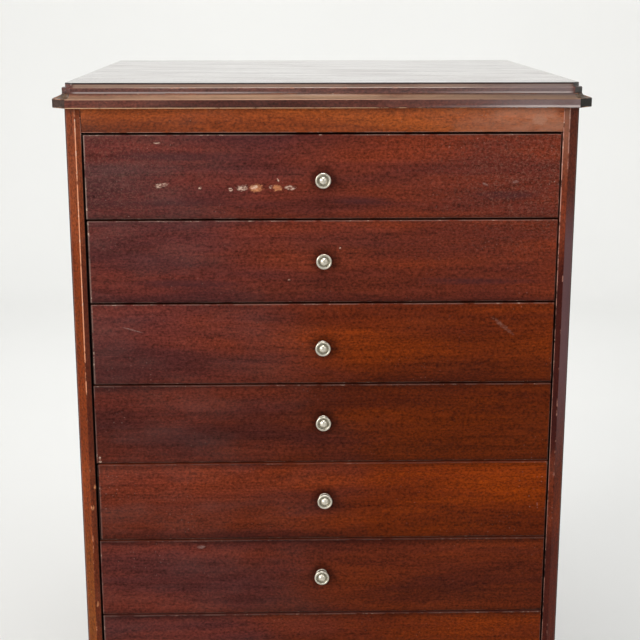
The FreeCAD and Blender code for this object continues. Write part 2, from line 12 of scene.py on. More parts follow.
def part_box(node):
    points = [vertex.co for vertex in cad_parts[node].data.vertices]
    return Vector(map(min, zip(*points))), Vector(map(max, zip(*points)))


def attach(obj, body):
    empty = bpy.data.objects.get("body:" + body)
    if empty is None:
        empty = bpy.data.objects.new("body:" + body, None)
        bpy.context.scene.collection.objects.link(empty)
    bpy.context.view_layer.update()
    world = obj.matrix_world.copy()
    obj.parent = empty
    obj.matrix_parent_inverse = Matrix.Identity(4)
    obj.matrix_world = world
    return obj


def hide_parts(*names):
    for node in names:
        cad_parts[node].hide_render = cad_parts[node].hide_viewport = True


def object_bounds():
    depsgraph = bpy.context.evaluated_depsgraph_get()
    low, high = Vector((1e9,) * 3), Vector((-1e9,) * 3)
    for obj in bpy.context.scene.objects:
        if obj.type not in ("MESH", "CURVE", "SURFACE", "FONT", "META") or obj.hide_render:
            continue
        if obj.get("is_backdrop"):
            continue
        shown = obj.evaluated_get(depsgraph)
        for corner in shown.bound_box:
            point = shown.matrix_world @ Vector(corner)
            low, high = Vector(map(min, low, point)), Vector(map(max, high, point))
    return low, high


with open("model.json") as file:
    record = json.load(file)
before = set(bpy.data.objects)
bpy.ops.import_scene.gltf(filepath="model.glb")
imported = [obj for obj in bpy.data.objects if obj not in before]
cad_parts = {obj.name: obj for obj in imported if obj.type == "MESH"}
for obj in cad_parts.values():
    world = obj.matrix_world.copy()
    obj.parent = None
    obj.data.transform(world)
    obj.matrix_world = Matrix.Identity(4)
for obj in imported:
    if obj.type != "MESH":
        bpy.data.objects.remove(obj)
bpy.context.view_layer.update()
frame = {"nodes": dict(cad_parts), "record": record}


# Plinth: a mahogany front, two sides and two canted corner pieces, mitred and glued round the foot of the
# case. A cove runs along the upper edge, and the lower edge is sawn out into bracket feet. Shoes and mops
# have knocked the arrises and left the polish dull near the floor.

MERGED = 1e-6
FLAT_WITHIN = math.radians(0.4)
SHARP_OVER = math.radians(28)
ROUND_STEPS = 3
MOULDING_ROUND = 0.0005
ARRIS_WIDTH = 0.003
MITRE_NORMAL = (0.3, 0.5)
UPRIGHT_WITHIN = 0.1
POLISH_SHINE = 0.2
WAXED = 0.4
SATIN = 0.5
DULL = 0.6
POLISH_RELIEF = 0.0002
WHITE = (255, 255, 255)
PORE_BROWN = (38, 15, 10)
PORE_STRENGTH = 0.42
HAZE_AND_SHEEN_GREY = (134, 112, 106)
DUST_GREY = (176, 164, 156)
RUBBED_TAN = (140, 92, 70)
NICK_PALE = (214, 184, 164)
PLINTH_DARK = (62, 26, 15)
PLINTH_LIGHT = (98, 43, 24)
SCUFF_GREY = (84, 62, 52)
SCUFF_ROUGH = 0.62
SCUFF_HEIGHT = 0.05
SCUFF_RAGGED = 0.08
SCUFF_STRENGTH = 0.5
PLINTH_WORN = 0.55
BODY_OF = {node: body for body, nodes in frame["record"]["behaviour"]["bodies"].items() for node in nodes}


def screen(red, green, blue):
    """A colour as it looks on a screen, 0 to 255 each, as the linear colour a shader takes."""

    def linear(level):
        share = level / 255
        return share / 12.92 if share <= 0.04045 else ((share + 0.055) / 1.055) ** 2.4

    return (linear(red), linear(green), linear(blue), 1.0)


def feed(tree, node, inputs):
    """Gives a node its inputs: links from other nodes, plain values, or colours as they look on a screen."""
    for key, given in inputs.items():
        socket = node.inputs[key]
        if isinstance(given, bpy.types.NodeSocket):
            tree.links.new(given, socket)
        elif socket.type == "RGBA" and len(given) == 3:
            socket.default_value = screen(*given)
        else:
            socket.default_value = given


def put(tree, kind, inputs=None, **settings):
    """Adds a node with its settings and inputs; a short kind is that of a shader node."""
    made = tree.nodes.new(kind if "Node" in kind else "ShaderNode" + kind)
    for name, choice in settings.items():
        setattr(made, name, choice)
    feed(tree, made, inputs or {})
    return made


def calc(tree, operation, *values):
    """One step of arithmetic."""
    return put(tree, "Math", dict(enumerate(values)), operation=operation).outputs[0]


def times(tree, mask, *others):
    """The mask of where several masks meet."""
    for other in others:
        mask = calc(tree, "MULTIPLY", mask, other)
    return mask


def ease(tree, amount, low, high, start=0.0, end=1.0):
    """Turns an amount between low and high smoothly into one between start and end."""
    spread = {"Value": amount, "From Min": low, "From Max": high, "To Min": start, "To Max": end}
    return put(tree, "MapRange", spread, interpolation_type="SMOOTHSTEP").outputs[0]


def blend(tree, share, under, over, how="MIX"):
    """Lays one colour over another; share says how much of it shows."""
    colours = {0: share, 6: under, 7: over}
    return put(tree, "Mix", colours, data_type="RGBA", blend_type=how).outputs[2]


def cloud(tree, place, length, width, detail=2.0, rough=0.5):
    """Soft noise from 0 to 1 whose blots are about length long on X and width across."""
    blot = put(tree, "CombineXYZ", {"X": length, "Y": width, "Z": width}).outputs[0]
    spread = put(tree, "VectorMath", {0: place, 1: blot}, operation="DIVIDE").outputs[0]
    noise = {"Vector": spread, "Scale": 1.0, "Detail": detail, "Roughness": rough}
    return put(tree, "TexNoise", noise).outputs[0]


def start_group(name, places, sizes, masks):
    """An empty shader group that makes masks from places and sizes: its tree, its inputs and its end."""
    tree = bpy.data.node_groups.new(name, "ShaderNodeTree")
    for labels, way, kind in (
        (places, "INPUT", "Vector"), (sizes, "INPUT", "Float"), (masks, "OUTPUT", "Float"),
    ):
        for label in labels:
            tree.interface.new_socket(label, in_out=way, socket_type="NodeSocket" + kind)
    return tree, put(tree, "NodeGroupInput").outputs, put(tree, "NodeGroupOutput")


def use(tree, group, inputs):
    """Places a shader group in a material with its own values, and gives its outputs."""
    return put(tree, "Group", inputs, node_tree=bpy.data.node_groups[group]).outputs


class Finish:
    """A surface built up in layers, as a polisher would, from the bare material outwards."""

    def __init__(self, name, shine, metal=0.0):
        self.material = bpy.data.materials.new(name)
        self.material.use_nodes = True
        self.tree = self.material.node_tree
        self.shader = self.tree.nodes["Principled BSDF"]
        feed(self.tree, self.shader, {"Specular IOR Level": shine, "Metallic": metal})
        self.place = put(self.tree, "TexCoord").outputs["Object"]
        self.colour = WHITE
        self.rough = SATIN
        self.height = 0.0

    def axes(self):
        """How far across, back and up the surface is."""
        return put(self.tree, "SeparateXYZ", {0: self.place}).outputs[:]

    def cloud(self, *sizes):
        """Soft noise on the surface itself."""
        return cloud(self.tree, self.place, *sizes)

    def layer(self, colour, *masks, rough=None):
        """Lays a colour, and a roughness if it has one, over what is there, where the masks meet."""
        share = times(self.tree, *masks)
        self.colour = blend(self.tree, share, self.colour, colour)
        if rough is not None:
            levels = {0: share, 2: self.rough, 3: rough}
            self.rough = put(self.tree, "Mix", levels, data_type="FLOAT").outputs[0]

    def shade(self, amount, *masks):
        """Darkens, lightens or tints what is there, all over or where the masks meet."""
        share = times(self.tree, *masks) if masks else 1.0
        self.colour = blend(self.tree, share, self.colour, amount, "MULTIPLY")

    def close(self, depth):
        """Joins the layers to the shader; depth is how deep the relief goes."""
        relief = put(self.tree, "Bump", {"Strength": 1.0, "Distance": depth, "Height": self.height})
        feed(self.tree, self.shader, {
            "Base Color": self.colour, "Roughness": self.rough, "Normal": relief.outputs[0]})
        return self.material


# The figure of a sawn plank whose grain runs along X: wide soft bands, faint lines, speckle and open pores.
figure, given, made = start_group("plank_figure", ("Place",), (
    "Band Length", "Band Width", "Line Length", "Line Width", "Line Depth", "Fibre Depth", "Speckle Depth",
    "Pore Length", "Pore Width", "Pore Share",
), ("Band", "Shade", "Pore", "Height"))
wander = cloud(figure, given["Place"], 0.4, 0.06, 1.0)
drift = calc(figure, "MULTIPLY_ADD", wander, 0.02, -0.01)
sideways = put(figure, "CombineXYZ", {"Y": drift, "Z": drift}).outputs[0]
bent = put(figure, "VectorMath", {0: given["Place"], 1: sideways}, operation="ADD").outputs[0]
band = cloud(figure, bent, given["Band Length"], given["Band Width"], 2.0, 0.5)
lines = cloud(figure, bent, given["Line Length"], given["Line Width"], 3.0, 0.6)
speckle = cloud(figure, bent, 0.0028, 0.0020, 2.0, 0.6)
fibres = cloud(figure, bent, 0.02, 0.0011, 2.0, 0.5)
pore_noise = cloud(figure, bent, given["Pore Length"], given["Pore Width"], 1.0)
pore_edge = calc(figure, "MULTIPLY_ADD", given["Pore Share"], -0.3, 0.76)
pore = ease(figure, pore_noise, pore_edge, calc(figure, "ADD", pore_edge, 0.07))
shade = 1.0
for noise, depth in ((lines, "Line Depth"), (fibres, "Fibre Depth"), (speckle, "Speckle Depth")):
    shade = calc(figure, "MULTIPLY_ADD", calc(figure, "SUBTRACT", noise, 0.5), given[depth], shade)
relief = calc(figure, "MULTIPLY_ADD", pore, -1.0, calc(figure, "MULTIPLY", fibres, 0.4))
feed(figure, made, {"Band": ease(figure, band, 0.3, 0.7), "Shade": shade, "Pore": pore, "Height": relief})

# Old polish: a milky film in patches, specks of dust caught in it, and an uneven gloss.
polish, given, made = start_group(
    "old_polish", ("Place",), ("Haze", "Dust", "Gloss Rough"), ("Film", "Speck", "Rough"))
smear = ease(polish, cloud(polish, given["Place"], 0.1, 0.035, 4.0, 0.62), 0.4, 0.78)
cells = put(polish, "TexVoronoi", {"Vector": given["Place"], "Scale": 260.0})
cell_draw = put(polish, "SeparateColor", {0: cells.outputs["Color"]}).outputs[0]
grit = times(
    polish, ease(polish, cells.outputs["Distance"], 0.2, 0.08), calc(polish, "GREATER_THAN", cell_draw, 0.55))
settled_dust_and_gleam = ease(polish, cloud(polish, given["Place"], 0.05, 0.05, 3.0, 0.6), 0.46, 0.7)
feed(polish, made, {
    "Film": times(polish, smear, given["Haze"]),
    "Speck": times(polish, grit, settled_dust_and_gleam, given["Dust"]),
    "Rough": calc(polish, "MULTIPLY_ADD", smear, 0.12, given["Gloss Rough"]),
})

# Rubbed arrises: the polish is broken along the edges, more of it the larger the share, with pale nicks.
rubbing, given, made = start_group("rubbed_arris", ("Place",), ("Arris", "Share"), ("Rubbed", "Nick"))
for label, blot, least, gain, span in (
    ("Rubbed", 0.016, 0.63, -0.4, 0.14), ("Nick", 0.006, 0.72, -0.2, 0.06),
):
    broken = cloud(rubbing, given["Place"], blot, blot, 4.0, 0.65)
    start = calc(rubbing, "MULTIPLY_ADD", given["Share"], gain, least)
    worn = ease(rubbing, broken, start, calc(rubbing, "ADD", start, span))
    feed(rubbing, made, {label: times(rubbing, worn, given["Arris"])})

GRAIN_TURN = {"x": (0.0, 0.0, 0.0), "y": (0.0, 0.0, -math.pi / 2), "z": (0.0, math.pi / 2, 0.0)}
MAHOGANY = {
    "Band Length": 0.2, "Band Width": 0.026, "Line Length": 0.12, "Line Width": 0.0042, "Line Depth": 0.95,
    "Fibre Depth": 0.55, "Speckle Depth": 2.2, "Pore Length": 0.005, "Pore Width": 0.0006, "Pore Share": 0.3,
}


def on_plank(finish, along, shift):
    """The surface as a place on a plank whose grain runs along X, some way along that plank."""
    turned_place = {"Vector": finish.place, "Location": shift, "Rotation": GRAIN_TURN[along]}
    return put(finish.tree, "Mapping", turned_place).outputs[0]


def plank(finish, dark, light, pores, along, shift, sizes):
    """Lays the bare wood: two tones in bands along the grain, fine lines and open pores."""
    grain = use(finish.tree, "plank_figure", {"Place": on_plank(finish, along, shift), **sizes})
    finish.colour = blend(finish.tree, grain["Band"], dark, light)
    finish.shade(grain["Shade"])
    finish.layer(pores, grain["Pore"], PORE_STRENGTH)
    finish.height = grain["Height"]


def old_polish(finish, film_and_sheen, dust, gloss_rough):
    """Lays old polish over the wood; on the drawer fronts its film is old polish and a painted sheen,
    stronger to the left.
    """
    coat = use(finish.tree, "old_polish", {
        "Place": finish.place, "Haze": film_and_sheen, "Dust": dust, "Gloss Rough": gloss_rough})
    finish.rough = coat["Rough"]
    finish.layer(HAZE_AND_SHEEN_GREY, coat["Film"])
    finish.layer(DUST_GREY, coat["Speck"], rough=DULL)


def rub(finish, arris, share, colour, rough=SATIN, nicks=0.0):
    """Wears the finish off in a broken line where the arris mask is, with pale nicks if it has any."""
    worn = use(finish.tree, "rubbed_arris", {"Place": finish.place, "Arris": arris, "Share": share})
    finish.layer(colour, worn["Rubbed"], rough=rough)
    if nicks:
        finish.layer(NICK_PALE, worn["Nick"], nicks, rough=DULL)


def mask_of(finish, name):
    """A mask that the mesh carries, such as the rounded arrises of a worn copy."""
    return put(finish.tree, "Attribute", attribute_name=name).outputs["Fac"]


def mahogany(name, dark, light, along, shift, film_and_sheen=0.15, dust=0.3, gloss_rough=0.36, shine=POLISH_SHINE):
    """Old polished mahogany with its grain along one axis, still open for further layers."""
    finish = Finish(name, shine)
    plank(finish, dark, light, PORE_BROWN, along, shift, MAHOGANY)
    old_polish(finish, film_and_sheen, dust, gloss_rough)
    return finish


def set_down(name, data):
    """Puts a mesh, a lamp or the camera into the scene."""
    thing = bpy.data.objects.new(name, data)
    bpy.context.scene.collection.objects.link(thing)
    return thing


def cast(shape, name):
    """Turns a worked shape into a mesh."""
    mesh = bpy.data.meshes.new(name)
    shape.to_mesh(mesh)
    shape.free()
    return mesh


def stand_in(mesh, material, node):
    """Shows a mesh in place of a node of the model, on the same body."""
    mesh.materials.clear()
    mesh.materials.append(material)
    piece = set_down(mesh.name, mesh)
    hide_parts(node)
    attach(piece, BODY_OF[node])


def mitred(face):
    """True for the face of a mitre, which is glued to its neighbour and stays sharp."""
    smaller = min(abs(face.normal.x), abs(face.normal.y))
    return MITRE_NORMAL[0] < smaller < MITRE_NORMAL[1] and abs(face.normal.z) < UPRIGHT_WITHIN


def worn_copy(node, material, round_size, glued=lambda face: False):
    """A copy of a wooden piece with its arrises rounded by wear and marked for the rubbed finish."""
    shape = bmesh.new()
    shape.from_mesh(frame["nodes"][node].data)
    bmesh.ops.remove_doubles(shape, verts=shape.verts, dist=MERGED)
    bmesh.ops.dissolve_limit(shape, angle_limit=FLAT_WITHIN, verts=shape.verts, edges=shape.edges)
    arris = shape.faces.layers.float.new("arris")
    for face in shape.faces:
        bends = [edge for edge in face.edges if edge.is_manifold and edge.calc_face_angle() < SHARP_OVER]
        outward = [edge for edge in bends if edge.is_convex and edge.calc_face_angle() > FLAT_WITHIN]
        narrow = face.calc_area() < ARRIS_WIDTH * max(edge.calc_length() for edge in face.edges)
        face[arris] = 1.0 if narrow and face.smooth and 2 * len(outward) > len(bends) else 0.0
    sharp = [
        edge for edge in shape.edges
        if edge.is_manifold and edge.is_convex and edge.calc_face_angle() > SHARP_OVER
        and not any(glued(face) for face in edge.link_faces)
    ]
    rounded = bmesh.ops.bevel(
        shape, geom=sharp, offset=round_size, offset_type="OFFSET", segments=ROUND_STEPS, profile=0.5,
        affect="EDGES", clamp_overlap=True)
    for face in rounded["faces"]:
        face.smooth = True
        face[arris] = 1.0
    mesh = cast(shape, node + "_worn")
    if "custom_normal" in mesh.attributes:
        mesh.attributes.remove(mesh.attributes["custom_normal"])
    stand_in(mesh, material, node)


for node, along, shift in (
    ("plinth_front", "x", (0.31, 0.0, 0.0)),
    ("plinth_corners", "z", (0.0, 0.4, 0.0)),
    ("plinth_sides", "y", (0.0, 0.0, 0.7)),
):
    finish = mahogany(node + "_polish", PLINTH_DARK, PLINTH_LIGHT, along, shift)
    tree = finish.tree
    across, back, up = finish.axes()
    uneven = finish.cloud(0.03, 0.03, 4.0, 0.65)
    reach = calc(tree, "MULTIPLY_ADD", uneven, SCUFF_RAGGED, calc(tree, "SUBTRACT", up, SCUFF_RAGGED / 2))
    finish.layer(SCUFF_GREY, ease(tree, reach, SCUFF_HEIGHT, 0.0, 0.0, SCUFF_STRENGTH), rough=SCUFF_ROUGH)
    rub(finish, mask_of(finish, "arris"), PLINTH_WORN, RUBBED_TAN, nicks=1.0)
    worn_copy(node, finish.close(POLISH_RELIEF), MOULDING_ROUND, mitred)


# Carcass: two solid mahogany sides with canted front corners, joined by a mahogany rail above and below
# the drawers. The front arrises have been handled for a century and show pale through the polish, with a
# painted highlight laid along them, and just inside the opening the surfaces are painted black as shade,
# with some dirt.

LEFT_DARK = (96, 42, 22)
LEFT_LIGHT = (124, 60, 32)
RIGHT_DARK = (92, 38, 22)
RIGHT_LIGHT = (126, 56, 32)
RAIL_DARK = (128, 57, 22)
RAIL_LIGHT = (160, 79, 30)
PLUM_SHADOW = (46, 14, 16)
ARRIS_PINK = (184, 132, 116)
ARRIS_ORANGE = (204, 136, 102)
RAIL_REFLECTION = (182, 132, 108)
CANT_REFLECTION = (120, 90, 94)
CANT_EDGE = (152, 120, 110)
CANT_WARMTH = (1.3, 1.0, 0.4, 1.0)
GAP_SHADE_BLACK = (16, 9, 7)
GAP_SHADE_BROWN = (84, 42, 26)
RAW_ORANGE = (206, 138, 94)
UPRIGHT_SHINE = 0.06
CASE_HAZE = 0.08
CASE_ROUND = 0.0007
CANT = 0.011
MARK_DEPTH = 0.01
GAP_RAGGED = 0.01
CHIP_TILT = 8
ENDWISE = 0.9
WORN = 0.6
HANDLED_WORN = (0.15, 0.8)

# Where a change begins and where it ends, from an edge: of the painted shade and dirt behind a front, of the
# painted black shade just inside a gap, of the worn arrises, behind the cant, across the arris of the cant,
# and down a rail.
GAP_DEPTH = (0.019, 0.009)
INTO_GAP = (0.0006, 0.0002)
ARRIS_REACH = (0.003, 0.002)
BEHIND_CANT = (0.002, 0.0)
PAST_FACE = (0.0006, 0.0)
RAIL_EDGE = 0.004

# Between which heights the sides are darker half-way up, the painted reflection lies on the cants, the foot
# darkens and the painted sheen at the head begins, and how far across the rail its painted reflection begins
# and its shadow ends.
MIDWAY_DARKENED = ((0.76, 0.66), (0.47, 0.52))
CANT_REFLECTED_HEIGHTS = ((0.78, 0.71), (0.46, 0.6))
LOW_DOWN = (0.43, 0.39)
REFLECTED_AT_HEAD = (0.76, 0.86)
RAIL_REFLECTED = (0.06, 0.23)
RAIL_SHADOWED = (-0.1, -0.22)

# The lines along the outer edge of the cant: where each begins and ends, its strength and its roughness.
OUTER_LINES = (
    (CANT_EDGE, (-0.0024, -0.0012), 0.4, SATIN),
    (PORE_BROWN, (-0.0014, -0.0008), 0.85, WAXED),
)

# The painted reflection spot on the top rail: how far across and below the upper edge, and half its length
# and height.
REFLECTION_SPOT = (0.21, -0.012, 0.008, 0.006)

# A mark: a ragged patch at a place, with its own size and tilt, broken up into small strokes.
mark, given, made = start_group("mark", ("Place", "Middle", "Tilt", "Half Size"), ("Broken",), ("Mask",))
at_mark = put(mark, "Mapping", {
    "Vector": given["Place"], "Location": given["Middle"], "Rotation": given["Tilt"],
    "Scale": given["Half Size"],
}, vector_type="TEXTURE").outputs[0]
reach = put(mark, "VectorMath", {0: at_mark}, operation="LENGTH").outputs["Value"]
ragged = calc(mark, "MULTIPLY_ADD", cloud(mark, given["Place"], 0.0032, 0.0022, 3.0, 0.75), 1.6, reach)
strokes = ease(mark, cloud(mark, given["Place"], 0.0026, 0.0011, 3.0, 0.6), 0.46, 0.58)
stroked = calc(mark, "MULTIPLY_ADD", calc(mark, "SUBTRACT", strokes, 1.0), given["Broken"], 1.0)
feed(mark, made, {"Mask": times(mark, ease(mark, ragged, 1.85, 1.4), stroked)})


def past(edge, distances):
    """Where a change begins and ends, from an edge."""
    return [edge + distance for distance in distances]


def lay_patch(finish, middle, half_size, tilt, colour, strength, broken):
    """A chip, scratch, stain or painted reflection spot in the polish of a face that looks to the front."""
    patch = use(finish.tree, "mark", {
        "Place": finish.place, "Middle": middle, "Tilt": (0.0, math.radians(tilt), 0.0),
        "Half Size": (half_size[0], MARK_DEPTH, half_size[1]), "Broken": broken})
    finish.layer(colour, patch["Mask"], strength, rough=DULL)


def shade_and_dirt_in_gap(finish, front):
    """How much painted shade and dirt a surface in a gap takes: most just behind the front, then less in a
    ragged edge.
    """
    across, back, up = finish.axes()
    ragged = calc(finish.tree, "MULTIPLY_ADD", finish.cloud(0.03, 0.012, 4.0, 0.6), GAP_RAGGED, back)
    return ease(finish.tree, ragged, *past(front, GAP_DEPTH))


def rail_end(face):
    """True for the end of a rail, which is tenoned into a side."""
    return abs(face.normal.x) > ENDWISE


# On each side: how strong the painted reflection on the cant and the painted sheen at the head are; between
# which heights the wear of the front arris, that of the arris at the opening, the painted black shade of the
# gap and the warmer polish of the cant come in; how dark the front and the cant are at their ends and
# half-way up, and how much darker low down; the tone of the cant low down, and the colour of the front arris,
# worn and with a painted highlight.
SIDES = {
    "left_side": {
        "tones": (LEFT_DARK, LEFT_LIGHT), "shift": (0.9, 0.2, 0.0), "painted_reflection": 0.0, "film_and_sheen": 0.0,
        "arris": (0.5, 0.66), "opening": (0.805, 0.835), "gap": (1.0, 0.9), "warm": (0.78, 0.66),
        "front": (0.25, 0.68, -0.1), "cant": (0.0, 0.35, 0.0), "foot": (1.15, 1.6, 1.2, 1.0),
        "rubbed": ARRIS_ORANGE,
    },
    "right_side": {
        "tones": (RIGHT_DARK, RIGHT_LIGHT), "shift": (2.3, 0.7, 0.0), "painted_reflection": 0.74, "film_and_sheen": 0.42,
        "arris": (0.78, 0.85), "opening": (0.1, 0.2), "gap": (0.78, 0.6), "warm": (0.52, 0.44),
        "front": (0.0, 0.85, 0.75), "cant": (0.2, 0.3, 0.4), "foot": (0.95, 0.75, 0.7, 1.0),
        "rubbed": ARRIS_PINK,
    },
}

# Chips in the left front arris: how far across and up, and half the width and height.
LEFT_CHIPS = (
    (-0.2345, 0.4665, 0.0014, 0.0026), (-0.2370, 0.4435, 0.0012, 0.0030), (-0.2365, 0.3360, 0.0013, 0.0036),
)

for node, side in SIDES.items():
    low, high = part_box(node)
    outer = max(-low.x, high.x)
    inner = min(abs(low.x), abs(high.x))
    edge_of_face = outer - CANT
    finish = mahogany(
        node + "_polish", *side["tones"], "z", side["shift"], film_and_sheen=CASE_HAZE, shine=UPRIGHT_SHINE)
    tree = finish.tree
    across, back, up = finish.axes()
    from_middle = calc(tree, "ABSOLUTE", across)
    arris = mask_of(finish, "arris")

    to_front = ease(tree, back, *past(low.y + CANT, BEHIND_CANT))
    on_face = times(tree, ease(tree, from_middle, *past(edge_of_face, PAST_FACE)), to_front)
    on_cant = calc(tree, "SUBTRACT", to_front, on_face)
    # The front face and the cant are darkened half-way up and low down in a plum tone.
    darker_midway = times(tree, *(ease(tree, up, *heights) for heights in MIDWAY_DARKENED))
    low_down = ease(tree, up, *LOW_DOWN)
    for part, (ends, middle, foot) in ((on_face, side["front"]), (on_cant, side["cant"])):
        darkened = calc(tree, "MULTIPLY_ADD", low_down, foot, ease(tree, darker_midway, 0.0, 1.0, ends, middle))
        finish.layer(PLUM_SHADOW, part, darkened)
    finish.shade(CANT_WARMTH, on_cant, ease(tree, up, *side["warm"]))
    finish.shade(side["foot"], on_cant, low_down)
    # A painted sheen at the head of the right front face and a painted reflection on the right cant.
    finish.layer(RAIL_REFLECTION, on_face, ease(tree, up, *REFLECTED_AT_HEAD, 0.0, side["film_and_sheen"]), rough=SATIN)
    reflecting = (ease(tree, up, *heights) for heights in CANT_REFLECTED_HEIGHTS)
    finish.layer(CANT_REFLECTION, *reflecting, side["painted_reflection"], on_cant, rough=WAXED)
    for colour, distances, strength, rough in OUTER_LINES:
        at_outside = ease(tree, from_middle, *past(outer, distances), 0.0, strength)
        finish.layer(colour, at_outside, on_cant, rough=rough)

    # The front arris of the cant is worn pale, with a painted highlight along it.
    off_arris = calc(tree, "ABSOLUTE", calc(tree, "SUBTRACT", from_middle, edge_of_face))
    at_cant = times(tree, arris, ease(tree, off_arris, *ARRIS_REACH))
    rub(finish, at_cant, ease(tree, up, *side["arris"], *HANDLED_WORN), side["rubbed"], nicks=0.6)
    at_opening = times(tree, arris, ease(tree, from_middle, *past(inner, ARRIS_REACH)))
    finish.layer(PORE_BROWN, at_opening, rough=SATIN)
    rub(finish, times(tree, at_opening, ease(tree, up, *side["opening"])), WORN, ARRIS_PINK, nicks=1.0)

    # Painted black shade, with some dirt, on the inner face just inside the opening.
    within = ease(tree, from_middle, *past(inner, INTO_GAP))
    finish.layer(
        GAP_SHADE_BLACK, within, shade_and_dirt_in_gap(finish, low.y), ease(tree, up, *side["gap"]), rough=DULL)
    if node == "left_side":
        for chip_across, chip_up, *half_size in LEFT_CHIPS:
            lay_patch(finish, (chip_across, low.y, chip_up), half_size, CHIP_TILT, RAW_ORANGE, 0.7, 0.4)
    worn_copy(node, finish.close(POLISH_RELIEF), CASE_ROUND)

for node, tones, shift, painted_head_light, gap_below in (
    ("top_rail", (RAIL_DARK, RAIL_LIGHT), (0.4, 0.0, 0.3), 1.35, True),
    ("bottom_rail", (LEFT_DARK, LEFT_LIGHT), (1.7, 0.0, 0.9), 0.92, False),
):
    low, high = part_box(node)
    finish = mahogany(node + "_polish", *tones, "x", shift, film_and_sheen=CASE_HAZE)
    tree = finish.tree
    across, back, up = finish.axes()
    # A painted reflection on the right end of the rail and in a spot near it.
    patchy_reflection = ease(tree, finish.cloud(0.05, 0.016, 4.0, 0.65), 0.3, 0.7)
    finish.layer(RAIL_REFLECTION, patchy_reflection, ease(tree, across, *RAIL_REFLECTED, 0.0, 0.6), rough=SATIN)
    # Painted light: the top rail is painted lighter towards its upper edge, against the shadow of the
    # cornice.
    finish.shade(ease(tree, up, low.z, high.z, 0.92, painted_head_light))
    downwards = ease(tree, up, high.z - RAIL_EDGE, low.z + RAIL_EDGE, 0.1, 0.5)
    finish.layer(PLUM_SHADOW, ease(tree, across, *RAIL_SHADOWED), downwards)
    spot_across, spot_down, *half_size = REFLECTION_SPOT
    lay_patch(finish, (spot_across, low.y, high.z + spot_down), half_size, 0, RAIL_REFLECTION, 0.7, 0.3)
    rub(finish, mask_of(finish, "arris"), WORN, ARRIS_PINK, nicks=0.6)
    # Painted black shade, with some dirt, along the rail's edge at the gap.
    gap_edges = past(low.z, INTO_GAP) if gap_below else past(high.z, [-reach for reach in INTO_GAP])
    finish.layer(GAP_SHADE_BLACK, ease(tree, up, *gap_edges), shade_and_dirt_in_gap(finish, low.y), rough=DULL)
    worn_copy(node, finish.close(POLISH_RELIEF), CASE_ROUND, rail_end)


# Carcass pine: the unseen boards, sawn from pine and left bare, have gone brown and dusty. They are the
# bottom, the rail behind the cornice, the back of the plinth, the blocks glued into its corners and the five
# upright boards of the back, each from a plank of its own.

PINE_DARK = (138, 92, 52)
PINE_LIGHT = (166, 120, 74)
PINE_PORE = (104, 66, 38)
PINE_RUBBED = (184, 146, 100)
KNOT_RING = (122, 76, 42)
KNOT_EYE = (66, 38, 22)
PINE = {
    "Band Length": 0.6, "Band Width": 0.008, "Line Length": 0.25, "Line Width": 0.0024, "Line Depth": 0.6,
    "Fibre Depth": 0.35, "Speckle Depth": 0.3, "Pore Length": 0.02, "Pore Width": 0.0006, "Pore Share": 0.15,
}
PINE_ROUGH = 0.7
PINE_ROUND = 0.0006
BOARD_TONES = (0.82, 1.12)
BARE_SHINE = 0.25
BARE_RELIEF = 0.0003
KNOTS_APART = (0.24, 0.12)
BACK_BOARDS = 5
PLANK_STEP = (0.37, 0.0, 1.7)
back_low, back_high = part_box("back_boards")
board_width = (back_high.x - back_low.x) / BACK_BOARDS

# Knots: dark oval eyes with a paler ring, loosely set along the grain and straight through the board.
knots, given, made = start_group("pine_knots", ("Place",), (), ("Eye", "Ring"))
across, back, up = put(knots, "SeparateXYZ", {0: given["Place"]}).outputs
knot_place = put(knots, "CombineXYZ", {
    "X": calc(knots, "DIVIDE", across, KNOTS_APART[0]), "Y": calc(knots, "DIVIDE", up, KNOTS_APART[1])})
knot_cell = put(
    knots, "TexVoronoi", {"Vector": knot_place.outputs[0], "Scale": 1.0}, voronoi_dimensions="2D").outputs
knot_draw = put(knots, "SeparateColor", {0: knot_cell["Color"]}).outputs[1]
chosen = calc(knots, "GREATER_THAN", knot_draw, 0.55)
for label, outer, inner in (("Eye", 0.06, 0.035), ("Ring", 0.14, 0.06)):
    feed(knots, made, {label: times(knots, ease(knots, knot_cell["Distance"], outer, inner), chosen)})


def bare_pine(name, along, shift, boards_apart=False):
    """Old bare pine with knots, dust in its grain and pale rubbed edges, whole or in upright boards."""
    finish = Finish(name, BARE_SHINE)
    tree = finish.tree
    tone = WHITE
    if boards_apart:
        across, back, up = finish.axes()
        from_edge = calc(tree, "SUBTRACT", across, back_low.x)
        board = calc(tree, "FLOOR", calc(tree, "DIVIDE", from_edge, board_width))
        stepped = put(tree, "VectorMath", {0: PLANK_STEP, "Scale": board}, operation="SCALE").outputs[0]
        finish.place = put(tree, "VectorMath", {0: finish.place, 1: stepped}, operation="ADD").outputs[0]
        drawn = put(tree, "TexWhiteNoise", {"W": board}, noise_dimensions="1D").outputs["Value"]
        tone = ease(tree, drawn, 0.0, 1.0, *BOARD_TONES)
    plank(finish, PINE_DARK, PINE_LIGHT, PINE_PORE, along, shift, PINE)
    finish.shade(tone)
    knot = use(tree, "pine_knots", {"Place": on_plank(finish, along, shift)})
    finish.layer(KNOT_RING, knot["Ring"], 0.45)
    finish.layer(KNOT_EYE, knot["Eye"], 0.8)
    old_polish(finish, film_and_sheen=0.12, dust=0.4, gloss_rough=0.66)
    rub(finish, mask_of(finish, "arris"), WORN, PINE_RUBBED, PINE_ROUGH)
    return finish.close(BARE_RELIEF)


